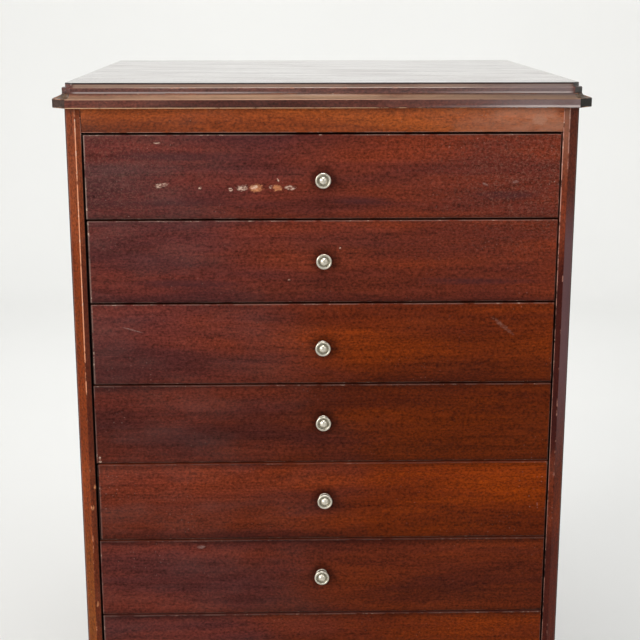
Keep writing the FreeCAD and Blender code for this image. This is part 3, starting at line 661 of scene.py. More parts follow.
pine_across = bare_pine("pine_across", "x", (0.6, 0.0, 0.2))
for node in ("bottom_board", "back_rail", "cornice_back", "plinth_back"):
    worn_copy(node, pine_across, PINE_ROUND)
worn_copy("glue_blocks", bare_pine("pine_upright", "z", (0.1, 0.0, 0.0)), PINE_ROUND)
worn_copy("back_boards", bare_pine("pine_back", "z", (0.1, 0.0, 0.0), True), PINE_ROUND)


# Runners: oak strips screwed to the sides, one under each drawer side. A century of sliding and some
# candle wax have polished their tops.

RUNNER_DARK = (104, 76, 44)
RUNNER_LIGHT = (146, 110, 68)
RUNNER_WAX = (122, 88, 52)
RUNNER_RUBBED = (160, 126, 84)
RUNNER_SHINE = 0.4
RUNNER_ROUGH = 0.28
RUNNER_ROUND = 0.0008
OAK_PORE = (92, 62, 34)
OAK = {
    "Band Length": 0.4, "Band Width": 0.02, "Line Length": 0.16, "Line Width": 0.003, "Line Depth": 0.4,
    "Fibre Depth": 0.35, "Speckle Depth": 0.3, "Pore Length": 0.008, "Pore Width": 0.0005, "Pore Share": 0.5,
}


def facing(finish):
    """Which way the surface faces: to the right, to the back and up."""
    normal = put(finish.tree, "NewGeometry").outputs["Normal"]
    return put(finish.tree, "SeparateXYZ", {0: normal}).outputs[:]


def lies_up(finish, start, end):
    """The share of a surface that faces up, where it is rubbed or dust lies on it, and where the cove takes a
    painted highlight.
    """
    return ease(finish.tree, facing(finish)[2], start, end)


finish = Finish("runner_oak_waxed", RUNNER_SHINE)
plank(finish, RUNNER_DARK, RUNNER_LIGHT, OAK_PORE, "y", (0.0, 0.3, 0.0), OAK)
old_polish(finish, film_and_sheen=0.15, dust=0.3, gloss_rough=0.5)
finish.layer(RUNNER_WAX, lies_up(finish, 0.5, 0.9), 0.7, rough=RUNNER_ROUGH)
rub(finish, mask_of(finish, "arris"), WORN, RUNNER_RUBBED, WAXED)
runner_oak = finish.close(BARE_RELIEF)
for node in ("left_runners", "right_runners"):
    worn_copy(node, runner_oak, RUNNER_ROUND)


# Screws: slotted countersunk steel wood screws, four through each back board and two through each runner,
# driven home by hand so that their slots stand at all angles. They have gone dull and rusty, and their
# shallow slots are painted dark as dirt and painted shade.

HEAD_RADIUS = 0.0036
HEAD_DEPTH = 0.0022
HEAD_PROUD = 0.0004
SHANK_RADIUS = 0.0018
SHANK_LENGTH = 0.0215
TAPER_FROM = 0.75 * SHANK_LENGTH
TIP_RADIUS = 0.0003
SLOT_WIDTH = 0.0009
SLOT_DEPTH = 0.00036
SCREW_SIDES = 28
TURN_SEED = 7
BACK_SCREW_INSET = 0.024
BACK_SCREW_EDGE = (0.006, 0.011)
RUNNER_SCREW_INSET = 0.045
RUNNER_MIDDLE = 0.005
DRAWERS = range(1, 9)
STEEL_GREY = (122, 116, 108)
STEEL_RUST = (92, 62, 42)
SLOT_DIRT_AND_SHADE = (40, 28, 22)
STEEL_ROUGH = 0.42
RUST_ROUGH = 0.75
SLOT_ROUGH = 0.8
STEEL_METAL = 0.85
METAL_SHINE = 0.5
STEEL_RELIEF = 0.0001

finish = Finish("screw_steel_dull", METAL_SHINE, STEEL_METAL)
finish.colour = STEEL_GREY
finish.rough = STEEL_ROUGH
pitted = ease(finish.tree, finish.cloud(0.0025, 0.0025, 4.0, 0.65), 0.45, 0.68)
finish.layer(STEEL_RUST, pitted, rough=RUST_ROUGH)
# Dirt and painted shade in the shallow slot.
finish.layer(SLOT_DIRT_AND_SHADE, mask_of(finish, "slot"), rough=SLOT_ROUGH)
finish.height = finish.cloud(0.0012, 0.0012, 3.0)
screw_steel = finish.close(STEEL_RELIEF)

# One screw, its head up and at the origin: a disc, the slot sunk into it, the cone and the shank.
shape = bmesh.new()
slot = shape.faces.layers.float.new("slot")
bmesh.ops.create_circle(shape, cap_ends=True, radius=HEAD_RADIUS, segments=SCREW_SIDES)
for edge_of_slot in (-SLOT_WIDTH / 2, SLOT_WIDTH / 2):
    bmesh.ops.bisect_plane(
        shape, geom=shape.verts[:] + shape.edges[:] + shape.faces[:],
        plane_co=(edge_of_slot, 0, 0), plane_no=(1, 0, 0))
rim = [edge for edge in shape.edges if edge.is_boundary]
slot_face = min(shape.faces, key=lambda face: abs(face.calc_center_median().x))
for face in shape.faces:
    face.normal_flip()
sunk = bmesh.ops.extrude_face_region(shape, geom=[slot_face])
for item in sunk["geom"]:
    if isinstance(item, bmesh.types.BMVert):
        item.co.z -= SLOT_DEPTH
    elif isinstance(item, bmesh.types.BMFace):
        item[slot] = 1.0
for radius, depth in (
    (HEAD_RADIUS, HEAD_PROUD), (SHANK_RADIUS, HEAD_DEPTH), (SHANK_RADIUS, TAPER_FROM),
    (TIP_RADIUS, SHANK_LENGTH),
):
    grown = bmesh.ops.extrude_edge_only(shape, edges=rim)["geom"]
    rim = [item for item in grown if isinstance(item, bmesh.types.BMEdge) and item.is_boundary]
    for vertex in {vertex for edge in rim for vertex in edge.verts}:
        flat = Vector((vertex.co.x, vertex.co.y, 0.0)).normalized() * radius
        vertex.co = (flat.x, flat.y, -depth)
bmesh.ops.contextual_create(shape, geom=rim)
bmesh.ops.recalc_face_normals(shape, faces=shape.faces)
screw_pattern = set_down("screw_pattern", cast(shape, "screw_pattern"))

# Where the screws go and which way their heads face, from the boards and runners they hold.
screw_places = []
for board in range(BACK_BOARDS):
    board_left = back_low.x + board * board_width
    for x in (board_left + BACK_SCREW_INSET, board_left + board_width - BACK_SCREW_INSET):
        for z in (back_low.z + BACK_SCREW_EDGE[0], back_high.z - BACK_SCREW_EDGE[1]):
            screw_places.append(((x, back_high.y + HEAD_PROUD, z), (0.0, 1.0, 0.0)))
for number in DRAWERS:
    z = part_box(f"drawer_{number}_front")[0].z + RUNNER_MIDDLE
    for node, inner, inwards in (("left_runners", 1, 1.0), ("right_runners", 0, -1.0)):
        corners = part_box(node)
        x = corners[inner].x + inwards * HEAD_PROUD
        for y in (corners[0].y + RUNNER_SCREW_INSET, corners[1].y - RUNNER_SCREW_INSET):
            screw_places.append(((x, y, z), (inwards, 0.0, 0.0)))
places_mesh = bpy.data.meshes.new("wood_screws_set")
places_mesh.from_pydata([place for place, heading in screw_places], [], [])
headings = places_mesh.attributes.new("facing", "FLOAT_VECTOR", "POINT")
for item, (place, heading) in zip(headings.data, screw_places):
    item.vector = heading

# The tree that sets a screw at each place, turned by hand.
setting = bpy.data.node_groups.new("screw_setting", "GeometryNodeTree")
sockets = {
    label: setting.interface.new_socket(label, in_out=way, socket_type="NodeSocket" + kind)
    for label, way, kind in (
        ("Places", "INPUT", "Geometry"), ("Screw", "INPUT", "Object"), ("Steel", "INPUT", "Material"),
        ("Turn Seed", "INPUT", "Int"), ("Screws", "OUTPUT", "Geometry"),
    )
}
given = put(setting, "NodeGroupInput").outputs
pattern = put(setting, "GeometryNodeObjectInfo", {"Object": given["Screw"]}).outputs["Geometry"]
heading = put(setting, "GeometryNodeInputNamedAttribute", {"Name": "facing"}, data_type="FLOAT_VECTOR")
aimed = put(
    setting, "FunctionNodeAlignRotationToVector", {"Vector": heading.outputs["Attribute"]}, axis="Z")
spun = put(
    setting, "FunctionNodeRandomValue", {3: math.pi, "Seed": given["Turn Seed"]}, data_type="FLOAT")
spin = put(setting, "CombineXYZ", {"Z": spun.outputs[1]})
driven = put(setting, "GeometryNodeInstanceOnPoints", {
    "Points": given["Places"], "Instance": pattern, "Rotation": aimed.outputs["Rotation"]})
turned_home = put(setting, "GeometryNodeRotateInstances", {
    "Instances": driven.outputs["Instances"], "Rotation": spin.outputs["Vector"]})
made_real = put(setting, "GeometryNodeRealizeInstances", {"Geometry": turned_home.outputs["Instances"]})
steeled = put(setting, "GeometryNodeSetMaterial", {
    "Geometry": made_real.outputs["Geometry"], "Material": given["Steel"]})
put(setting, "NodeGroupOutput", {"Screws": steeled.outputs["Geometry"]})
screw_places_object = set_down("screw_places", places_mesh)
set_screws = screw_places_object.modifiers.new("screws", "NODES")
set_screws.node_group = setting
for label, choice in (("Screw", screw_pattern), ("Steel", screw_steel), ("Turn Seed", TURN_SEED)):
    set_screws[sockets[label].identifier] = choice
graph = bpy.context.evaluated_depsgraph_get()
screws_mesh = bpy.data.meshes.new_from_object(screw_places_object.evaluated_get(graph))
screws_mesh.name = "wood_screws_slotted"
bpy.data.objects.remove(screw_places_object)
bpy.data.objects.remove(screw_pattern)
stand_in(screws_mesh, screw_steel, "wood_screws")


# Cornice: a mahogany moulding with a fascia and a cove, mitred round the head of the case and glued on.
# Dust and old wax lie in the cove, with a painted highlight over them, the arris under the fascia is chipped
# pale, the right end carries a painted reflection, and the short canted pieces are nearly black with polish
# that has gathered in the corners, the right-hand one also painted black as shade.

CORNICE_DARK = (68, 34, 28)
CORNICE_LIGHT = (98, 52, 42)
CORNER_DARK = (40, 28, 22)
CORNER_LIGHT = (60, 42, 34)
CORNER_SHADE_BLACK = (30, 29, 25)
COVE_DUST_AND_HIGHLIGHT = (164, 132, 106)
COVE_LINE = (166, 128, 106)
REFLECTION_GREY = (122, 108, 108)
REFLECTION_PALE = (196, 181, 177)
FASCIA_PALE = (206, 168, 132)
FASCIA_HEIGHT = 0.009
FASCIA_LINE = FASCIA_HEIGHT - 0.0003
CORNICE_GLOSS = 0.28
WAX_ROUGH = 0.45
CORNICE_WORN = 0.4

# Where a change begins and ends: the painted black shade and the painted reflection and the end of the chips
# across, the pale foot of the painted reflection and the lower arris above the foot, the painted shade over
# the dust and painted highlight in the cove below the head, and the line along the fascia.
SHADED_BLACK_ACROSS = (0.0, 0.2)
CORNICE_REFLECTED = (0.08, 0.24)
LESS_CHIPPED = (0.02, 0.14)
PALE_FOOT = (0.0034, 0.002)
LOWER_ARRIS = (0.0012, 0.0006)
COVE_SHADED = (-0.0002, -0.0018)
NEAR_LINE = (0.0009, 0.0005)

for node, along, shift, tones, dust_and_highlight, chipped in (
    ("cornice_front", "x", (0.2, 0.0, 0.5), (CORNICE_DARK, CORNICE_LIGHT), 0.7, 0.8),
    ("cornice_corners", "x", (1.2, 0.0, 0.1), (CORNER_DARK, CORNER_LIGHT), 0.25, 0.3),
    ("cornice_sides", "y", (0.0, 0.6, 0.0), (CORNICE_DARK, CORNICE_LIGHT), 0.5, 0.5),
):
    low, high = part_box(node)
    finish = mahogany(node + "_polish", *tones, along, shift, gloss_rough=CORNICE_GLOSS)
    tree = finish.tree
    across, back, up = finish.axes()
    # The right-hand canted piece is painted black as shade, over its dark polish.
    if node == "cornice_corners":
        finish.layer(CORNER_SHADE_BLACK, ease(tree, across, *SHADED_BLACK_ACROSS, 0.0, 0.85))
    # A painted reflection towards the right end, paler at the foot.
    patchy_reflection = ease(tree, finish.cloud(0.06, 0.02, 4.0, 0.65), 0.2, 0.6, 0.3, 1.0)
    to_right = ease(tree, across, *CORNICE_REFLECTED, 0.0, 0.8 if node == "cornice_front" else 0.0)
    reflected = times(tree, patchy_reflection, to_right)
    finish.layer(REFLECTION_GREY, reflected, rough=WAXED)
    finish.layer(REFLECTION_PALE, reflected, ease(tree, up, *past(low.z, PALE_FOOT)), rough=WAXED)

    # Dust and old wax in the cove, with a painted highlight; less of it under the head, as painted shade.
    settled_dust_and_gleam = ease(tree, finish.cloud(0.04, 0.01, 3.0, 0.6), 0.2, 0.6, 0.5, 1.0)
    shaded = ease(tree, up, *past(high.z, COVE_SHADED), 0.2, dust_and_highlight)
    in_cove = times(tree, shaded, lies_up(finish, 0.2, 0.75))
    finish.layer(COVE_DUST_AND_HIGHLIGHT, settled_dust_and_gleam, in_cove, rough=WAX_ROUGH)

    arris = mask_of(finish, "arris")
    rub(finish, arris, CORNICE_WORN, RUBBED_TAN, nicks=0.7)
    off_line = calc(tree, "ABSOLUTE", calc(tree, "SUBTRACT", up, low.z + FASCIA_LINE))
    rub(finish, times(tree, arris, ease(tree, off_line, *NEAR_LINE)), chipped, COVE_LINE)
    lowest = ease(tree, up, *past(low.z, LOWER_ARRIS))
    chipped_off = ease(tree, across, *LESS_CHIPPED, chipped, 0.2)
    rub(finish, times(tree, arris, lowest), chipped_off, FASCIA_PALE, DULL)
    worn_copy(node, finish.close(POLISH_RELIEF), MOULDING_ROUND, mitred)


# Top: one wide mahogany board with a two-step moulded edge, french polished so that it mirrors the light
# at a low angle. Its upper arris is painted black, wax and a painted sheen have greyed the steps below it, a
# painted reflection lies to the right and along the foot, the right-hand canted corner is painted black as
# shade, and fine scratches run along the grain.

TOP_DARK = (66, 36, 32)
TOP_LIGHT = (94, 54, 46)
TOP_ARRIS_BLACK = (34, 22, 18)
HAIRLINE_BROWN = (60, 34, 26)
WAX_AND_SHEEN_GREY = (142, 116, 100)
STEP_HEIGHT = 0.0062
COAT_ROUGH = 0.07
TOP_RELIEF = 0.00015
TOP_WORN = 0.25
ARRIS_ROUGH = 0.35

# Where a change begins and ends: at and below the upper arris, on the step, above the foot, from the corners,
# the painted reflection to the right, its pale left end along the foot, and the last of the rubbed arris
# across.
AT_ARRIS = (-0.0016, -0.00112)
BELOW_ARRIS = (-0.00128, -0.00224)
ON_STEP = (STEP_HEIGHT - 0.0012, STEP_HEIGHT - 0.0006)
TOP_FOOT = (0.0022, 0.0012)
OFF_CORNER = (-0.009, -0.015)
TOP_REFLECTED = (0.08, 0.23)
PALE_LEFT = (-0.1, 0.0)
LAST_RUBBED = (0.1, 0.18)

low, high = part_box("top_board")
finish = mahogany(
    "top_polish", TOP_DARK, TOP_LIGHT, "x", (0.0, 0.3, 0.8), film_and_sheen=0.1, dust=0.2, gloss_rough=0.14)
tree = finish.tree
across, back, up = finish.axes()
streaked = ease(tree, finish.cloud(0.16, 0.012, 4.0, 0.65), 0.3, 0.7, 0.5, 0.95)
hairlines = ease(tree, finish.cloud(0.05, 0.0012, 1.0), 0.72, 0.76)
coat = times(tree, streaked, calc(tree, "MULTIPLY_ADD", hairlines, -0.8, 1.0))
feed(tree, finish.shader, {"Coat Weight": coat, "Coat Roughness": COAT_ROUGH})
finish.layer(HAIRLINE_BROWN, hairlines, 0.8, rough=SATIN)

below_arris = ease(tree, up, *past(high.z, BELOW_ARRIS))
off_corner = ease(tree, calc(tree, "ABSOLUTE", across), *past(high.x, OFF_CORNER))
edge_of_top = times(tree, below_arris, off_corner)
# Wax and a painted sheen grey the step below the arris.
patchy = ease(tree, finish.cloud(0.05, 0.004, 3.0, 0.6), 0.25, 0.55, 0.45, 0.9)
finish.layer(WAX_AND_SHEEN_GREY, patchy, ease(tree, up, *past(low.z, ON_STEP)), edge_of_top, rough=WAX_ROUGH)
# A painted reflection towards the right, and a pale painted reflection along the foot, most at the left end.
to_right = ease(tree, across, *TOP_REFLECTED, 0.0, 0.7)
finish.layer(REFLECTION_GREY, to_right, edge_of_top, rough=WAXED)
to_ends = calc(tree, "ADD", ease(tree, across, *PALE_LEFT, 0.55, 0.04), to_right)
foot = ease(tree, up, *past(low.z, TOP_FOOT), 0.0, 0.9)
finish.layer(REFLECTION_PALE, to_ends, foot, off_corner, rough=WAXED)
rubbed_at = times(tree, edge_of_top, ease(tree, across, *LAST_RUBBED, 1.0, 0.0))
rub(finish, times(tree, mask_of(finish, "arris"), rubbed_at), TOP_WORN, RUBBED_TAN, nicks=0.6)
# The canted faces that look to the right are painted black as shade.
to_the_right = facing(finish)[0]
right_canted_shade = times(tree, ease(tree, to_the_right, 0.3, 0.5), ease(tree, to_the_right, 0.95, 0.85))
finish.layer(CORNER_SHADE_BLACK, right_canted_shade, 0.85, rough=WAXED)
upright = calc(tree, "SUBTRACT", 1.0, lies_up(finish, 0.9, 0.98))
# Black is painted along the upper arris.
finish.layer(TOP_ARRIS_BLACK, ease(tree, up, *past(high.z, AT_ARRIS)), upright, rough=ARRIS_ROUGH)
worn_copy("top_board", finish.close(TOP_RELIEF), MOULDING_ROUND)


# Drawer boxes: thin oak sides, lap-dovetailed into the front, with an oak back let into them and a bottom
# slid into grooves. The oak is bare, browned by age, and darkest where dust has settled inside.

LINING_DARK = (160, 122, 76)
LINING_LIGHT = (186, 148, 98)
LINING_RUBBED = (196, 164, 118)
LINING_ROUND = 0.0005

for piece, along, shift in (
    ("sides", "y", (0.0, 0.0, 0.2)), ("back", "x", (0.4, 0.0, 0.0)), ("bottom", "x", (1.1, 0.0, 0.6)),
):
    finish = Finish("lining_" + piece, BARE_SHINE)
    plank(finish, LINING_DARK, LINING_LIGHT, OAK_PORE, along, shift, OAK)
    old_polish(finish, film_and_sheen=0.1, dust=0.3, gloss_rough=0.6)
    rub(finish, mask_of(finish, "arris"), WORN, LINING_RUBBED, DULL)
    lining = finish.close(BARE_RELIEF)
    for number in DRAWERS:
        worn_copy(f"drawer_{number}_{piece}", lining, LINING_ROUND)


# Drawer fronts: one mahogany board each, set flush between the sides with no rails between. The polish is
# plum brown to the left and amber to the right, with a painted sheen towards the left and painted light that
# makes them brighter above than below. It is dark round the knob with handling and a painted shadow, rubbed
# grey with a painted highlight along the left and upper edges, and painted black and brown in the gaps as
# shade and dirt. Chips and scratches are where a century has left them.

PLUM_DARK = (76, 38, 38)
PLUM_LIGHT = (104, 46, 38)
AMBER_DARK = (88, 31, 8)
AMBER_LIGHT = (115, 44, 4)
EDGE_WEAR_AND_HIGHLIGHT_GREY = (142, 116, 106)
STREAK_DARK = (66, 36, 38)
SCUFF_BROWN = (122, 82, 68)
FINE_DUST = (172, 132, 112)
BARE_FRONT = (150, 92, 62)
FRONT_GLOSS = 0.38
FRONT_WORN = 0.62
INSIDE_ROUGH = 0.65
PLANKS_APART = (0.37, 0.0, 0.05)
AMBER_DRIFT = 0.24
STREAK_STRENGTH = 0.6
MARK_STRENGTH = 0.8

# Where a change begins and ends: from plum to amber and from end to end across, the shade at the foot, the
# head and round the knob, the worn and highlit edges and the painted shade and dirt of the gap behind the
# face, the bare wood inside, the painted black shade at the left end, a streak in halves of its size, and the
# painted sheen, the specks and the fine dust across and up the case.
AMBERED = (-0.02, 0.19)
END_TO_END = (-0.2, 0.2)
FOOT_SHADED = (0.0, 0.006)
HEAD_SHADED = (0.0, -0.008)
KNOB_SHADED = (0.007, 0.017)
EDGE_WORN_LIT = (0.003, 0.0012)
BEHIND_FACE = (0.0006, 0.0014)
INSIDE = (-0.0004, -0.0001)
LEFT_SHADE_BLACK = (0.0003, -0.0001)
STREAKED = (1.7, 0.6)
LEFT_SHEEN = (-0.2, 0.1)
SPECKED_ENDS = (0.06, 0.23)
SPECKED_HIGH = (0.7, 0.8)
DUSTY_ENDS = (0.04, 0.23)
DUSTY_RIGHT = (-0.1, 0.1)
DUSTY_HIGH = (0.67, 0.79)

# How wide the worn lines, with their painted highlight, are along the left, right, upper and lower edges, and
# how strong two of them are.
EDGE_WIDTHS = (0.0018, 0.0010, 0.0012, 0.0010)
EDGE_STRENGTH = 0.35

# Each front's own polish: how bright and how amber it is at its left and right ends, how much brighter it is
# above than below as painted light, how dark it is along its head as painted shade, how far its upper edge is
# rubbed and painted with a highlight, how wide the painted black shade of the gap and how strong the grey of
# the worn and highlit arris are at its left end, and the colour of the painted shade and dirt in its gaps,
# painted lighter in the lower gaps.
Front = namedtuple("Front", "bright amber fall head rubbed end gap")
FRONTS = {
    1: Front((0.9, 1.18), (0.0, 0.5), 0.05, 1.0, 0.5, (0.0, 0.8), (34, 19, 14)),
    2: Front((0.88, 1.12), (0.05, 0.6), 0.1, 0.9, 0.35, (0.0008, 0.6), GAP_SHADE_BROWN),
    3: Front((0.98, 0.9), (0.2, 0.9), 0.2, 0.9, 0.35, (0.0010, 0.5), GAP_SHADE_BROWN),
    4: Front((0.68, 0.68), (0.25, 0.92), 0.1, 0.6, 0.2, (0.0, 0.3), (100, 50, 36)),
    5: Front((0.88, 1.14), (0.45, 1.0), 0.24, 0.55, 0.1, (0.0016, 0.3), (150, 70, 45)),
    6: Front((0.89, 0.74), (0.2, 0.76), 0.12, 0.42, 0.12, (0.0, 0.3), (128, 66, 48)),
    7: Front((0.9, 0.9), (0.2, 0.9), 0.12, 0.42, 0.2, (0.0004, 0.4), (114, 62, 52)),
    8: Front((0.86, 0.94), (0.3, 1.0), 0.14, 0.5, 0.25, (0.0006, 0.4), (100, 50, 36)),
}

# Dark streaks in the polish of a front: how far right of and above its middle, half the length and height.
STREAKS = {
    1: (
        (-0.149, 0.0200, 0.085, 0.0055), (-0.140, -0.0250, 0.110, 0.0060), (0.188, -0.0190, 0.050, 0.0060),
        (0.037, -0.0240, 0.040, 0.0050),
    ),
    2: ((-0.139, -0.0220, 0.070, 0.0060), (0.150, -0.0200, 0.070, 0.0050)),
}

# Chips and scratches on each front: how far right of and above its middle, half the length and height,
# the tilt in degrees, and the colour that shows; then how broken up a mark of that colour is.
MARKS = {
    1: (
        (-0.0655, -0.0106, 0.0074, 0.0042, 0, RAW_ORANGE), (-0.0446, -0.0108, 0.0050, 0.0034, 0, RAW_ORANGE),
        (-0.0325, -0.0104, 0.0056, 0.0026, 0, NICK_PALE), (-0.0514, -0.0097, 0.0020, 0.0018, 0, NICK_PALE),
        (-0.0441, -0.0028, 0.0009, 0.0024, -20, NICK_PALE), (-0.0791, -0.0106, 0.0062, 0.0034, 0, NICK_PALE),
        (-0.0903, -0.0120, 0.0024, 0.0018, 30, NICK_PALE), (-0.1574, -0.0077, 0.0070, 0.0024, -12, NICK_PALE),
        (-0.1200, -0.0104, 0.0018, 0.0018, 0, NICK_PALE), (-0.1605, 0.0333, 0.0034, 0.0013, 4, NICK_PALE),
        (0.1589, -0.0080, 0.0040, 0.0012, 20, HAZE_AND_SHEEN_GREY), (0.1884, -0.0053, 0.0036, 0.0015, -10, HAZE_AND_SHEEN_GREY),
        (-0.0672, -0.0098, 0.0040, 0.0026, 0, NICK_PALE),
    ),
    2: ((-0.0339, -0.0184, 0.0014, 0.0010, 0, NICK_PALE), (0.0166, 0.0136, 0.0013, 0.0011, 30, NICK_PALE)),
    3: ((-0.1908, 0.0155, 0.0120, 0.0006, 16, HAZE_AND_SHEEN_GREY), (0.1806, 0.0173, 0.0150, 0.0024, 39, SCUFF_BROWN)),
    4: ((-0.2280, -0.0352, 0.0015, 0.0018, 0, NICK_PALE), (-0.2282, -0.0393, 0.0017, 0.0013, 0, NICK_PALE)),
    6: ((-0.1271, 0.0341, 0.0046, 0.0020, -8, HAZE_AND_SHEEN_GREY),),
}
BROKEN = {RAW_ORANGE: 0.35, NICK_PALE: 0.85, HAZE_AND_SHEEN_GREY: 0.6, SCUFF_BROWN: 0.7}

for number, front in FRONTS.items():
    node = f"drawer_{number}_front"
    low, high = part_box(node)
    middle = (low + high) / 2
    knob_low, knob_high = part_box(f"drawer_{number}_knob")
    knob_middle = (knob_low + knob_high) / 2
    finish = Finish(f"drawer_{number}_polish", UPRIGHT_SHINE)
    tree = finish.tree
    across, back, up = finish.axes()
    from_middle = calc(tree, "ABSOLUTE", across)

    drifted = calc(tree, "MULTIPLY_ADD", finish.cloud(0.1, 0.04, 2.0), AMBER_DRIFT, across)
    amber = ease(tree, drifted, *AMBERED, *front.amber)
    tones = (blend(tree, amber, PLUM_DARK, AMBER_DARK), blend(tree, amber, PLUM_LIGHT, AMBER_LIGHT))
    plank(finish, *tones, PORE_BROWN, "x", [step * number for step in PLANKS_APART], MAHOGANY)
    finish.shade(ease(tree, across, *END_TO_END, *front.bright))
    # Painted light: brighter above than below.
    finish.shade(ease(tree, up, low.z, high.z, 1.0 - front.fall, 1.0 + front.fall))
    finish.shade(ease(tree, up, *past(low.z, FOOT_SHADED), 0.7, 1.0))
    finish.shade(ease(tree, up, *past(high.z, HEAD_SHADED), front.head, 1.0))

    # Painted shadow and handling dirt round the knob.
    on_face = put(tree, "CombineXYZ", {"X": across, "Y": knob_middle.y, "Z": up}).outputs[0]
    from_knob = put(tree, "VectorMath", {0: on_face, 1: knob_middle}, operation="DISTANCE").outputs["Value"]
    finish.shade(ease(tree, from_knob, *KNOB_SHADED, 0.5, 1.0))

    for right, above, half_length, half_height in STREAKS.get(number, ()):
        streak = put(tree, "Mapping", {
            "Vector": finish.place, "Location": (middle.x + right, low.y, middle.z + above),
            "Scale": (half_length, 1.0, half_height)}, vector_type="TEXTURE").outputs[0]
        reach = put(tree, "VectorMath", {0: streak}, operation="LENGTH").outputs["Value"]
        wisps = calc(tree, "MULTIPLY_ADD", finish.cloud(0.06, 0.004, 3.0, 0.6), 1.2, reach)
        finish.layer(STREAK_DARK, ease(tree, wisps, *STREAKED, 0.0, STREAK_STRENGTH))

    # A painted sheen towards the left, laid as the film of the old polish.
    sheen_to_left = ease(tree, across, *LEFT_SHEEN, 0.1, 0.01)
    specked = times(
        tree, ease(tree, from_middle, *SPECKED_ENDS, 0.1, 0.3), ease(tree, up, *SPECKED_HIGH, 1.0, 2.0))
    old_polish(finish, sheen_to_left, specked, FRONT_GLOSS)
    dusty = times(
        tree, ease(tree, from_middle, *DUSTY_ENDS, 0.0, 0.26), ease(tree, across, *DUSTY_RIGHT, 0.6, 1.0),
        ease(tree, up, *DUSTY_HIGH))
    fine_dust = ease(tree, finish.cloud(0.0017, 0.0013, 2.0, 0.6), 0.48, 0.74)
    finish.layer(FINE_DUST, fine_dust, dusty, rough=DULL)

    # The edges are worn grey, with a painted highlight, widest and strongest along the left and upper edges.
    shade_black_width, end_wear_highlight = front.end
    past_shade_black = calc(tree, "SUBTRACT", across, low.x + shade_black_width)
    edges = 0.0
    for width, (distance, strength) in zip(EDGE_WIDTHS, (
        (past_shade_black, end_wear_highlight),
        (calc(tree, "SUBTRACT", high.x, across), EDGE_STRENGTH),
        (calc(tree, "SUBTRACT", high.z, up), front.rubbed),
        (calc(tree, "SUBTRACT", up, low.z), EDGE_STRENGTH),
    )):
        edges = calc(tree, "MAXIMUM", edges, ease(tree, distance, width, 0.4 * width, 0.0, strength))
    edges = times(tree, edges, ease(tree, back, *past(low.y, EDGE_WORN_LIT)))
    rub(finish, edges, FRONT_WORN, EDGE_WEAR_AND_HIGHLIGHT_GREY, nicks=1.0)

    for right, above, half_length, half_height, tilt, colour in MARKS.get(number, ()):
        place = (middle.x + right, low.y, middle.z + above)
        lay_patch(finish, place, (half_length, half_height), tilt, colour, MARK_STRENGTH, BROKEN[colour])

    # Painted shade and dirt in the gaps behind the face, lighter or darker gap by gap.
    behind = ease(tree, back, *past(low.y, BEHIND_FACE))
    finish.layer(front.gap, behind, shade_and_dirt_in_gap(finish, low.y), rough=DULL)
    # Painted black shade at the left end, widening the gap.
    if shade_black_width:
        finish.layer(GAP_SHADE_BLACK, ease(tree, past_shade_black, *LEFT_SHADE_BLACK, 0.0, 0.95), rough=DULL)
    finish.layer(BARE_FRONT, ease(tree, back, *past(high.y, INSIDE), 0.0, 0.7), rough=INSIDE_ROUGH)
    frame["nodes"][node].data.materials[0] = finish.close(POLISH_RELIEF)


# Knobs: small turned brass knobs, nickel plated and aged. A rose seats on the front, a waisted neck carries
# a head with a beaded rim round a dome, and a threaded stem goes through the front to a nut inside.

ROSE_RADIUS = 0.0062
ROSE_THICKNESS = 0.0012
ROSE_ROUND = 0.0006
NECK_RADIUS = 0.0034
NECK_LENGTH = 0.0059
NECK_WAIST = 0.0034
HEAD_BACK_RADIUS = 0.0062
KNOB_RADIUS = 0.0077
KNOB_BACK = 0.0073
RIM_TOP = 0.0101
GROOVE_LEVEL = 0.0088
DOME_RADIUS = 0.0043
GROOVE_WIDTH = 0.0013
DOME_TOP = 0.0115
STEM_RADIUS = 0.0024
STEM_END = -0.0231
THREAD_INSET = 0.001
THREAD_PITCH = 0.0008
THREAD_DEPTH = 0.00025
NUT_RADIUS = 0.0048
NUT_HEIGHT = 0.0036
NUT_ROUND = 0.0004
NUT_SIDES = 6
FRONT_THICKNESS = 0.018
KNOB_SIDES = 72
KNOB_SHARP_OVER = math.radians(40)
KNOB_SPIN = 0.7
NICKEL = (222, 216, 202)
NICKEL_TARNISH = (196, 184, 160)
NICKEL_GRIME_AND_SHADE = (84, 83, 68)
NICKEL_ROUGH = 0.34
NICKEL_RELIEF = 0.00004


def arc(centre, radius, turns, steps, grime):
    """A round stretch of a turned profile: points as distance from the axis, distance out, and how dark the
    point is, from grime in the hollows and painted shade on the dome.
    """
    points = []
    for step in range(steps + 1):
        turn, darkening = (start + (end - start) * step / steps for start, end in (turns, grime))
        along, out = radius * math.cos(math.radians(turn)), radius * math.sin(math.radians(turn))
        points.append((centre[0] + along, centre[1] + out, darkening))
    return points


def turned(profile, sides):
    """Turns a profile about the axis that points out of a drawer front, with its grime and painted shade as
    an attribute.
    """
    lathe = bmesh.new()
    grime = lathe.verts.layers.float.new("grime")
    rings = []
    for radius, out, darkening in profile:
        around = sides if radius > 0 else 1
        ring = []
        for step in range(around):
            turn = 2 * math.pi * step / sides
            vertex = lathe.verts.new((radius * math.cos(turn), -out, radius * math.sin(turn)))
            vertex[grime] = darkening
            ring.append(vertex)
        rings.append(ring)
    for inner, outer in zip(rings, rings[1:]):
        for step in range(sides):
            corners = [
                inner[step % len(inner)], inner[(step + 1) % len(inner)],
                outer[(step + 1) % len(outer)], outer[step % len(outer)],
            ]
            lathe.faces.new(list(dict.fromkeys(corners)))
    return lathe


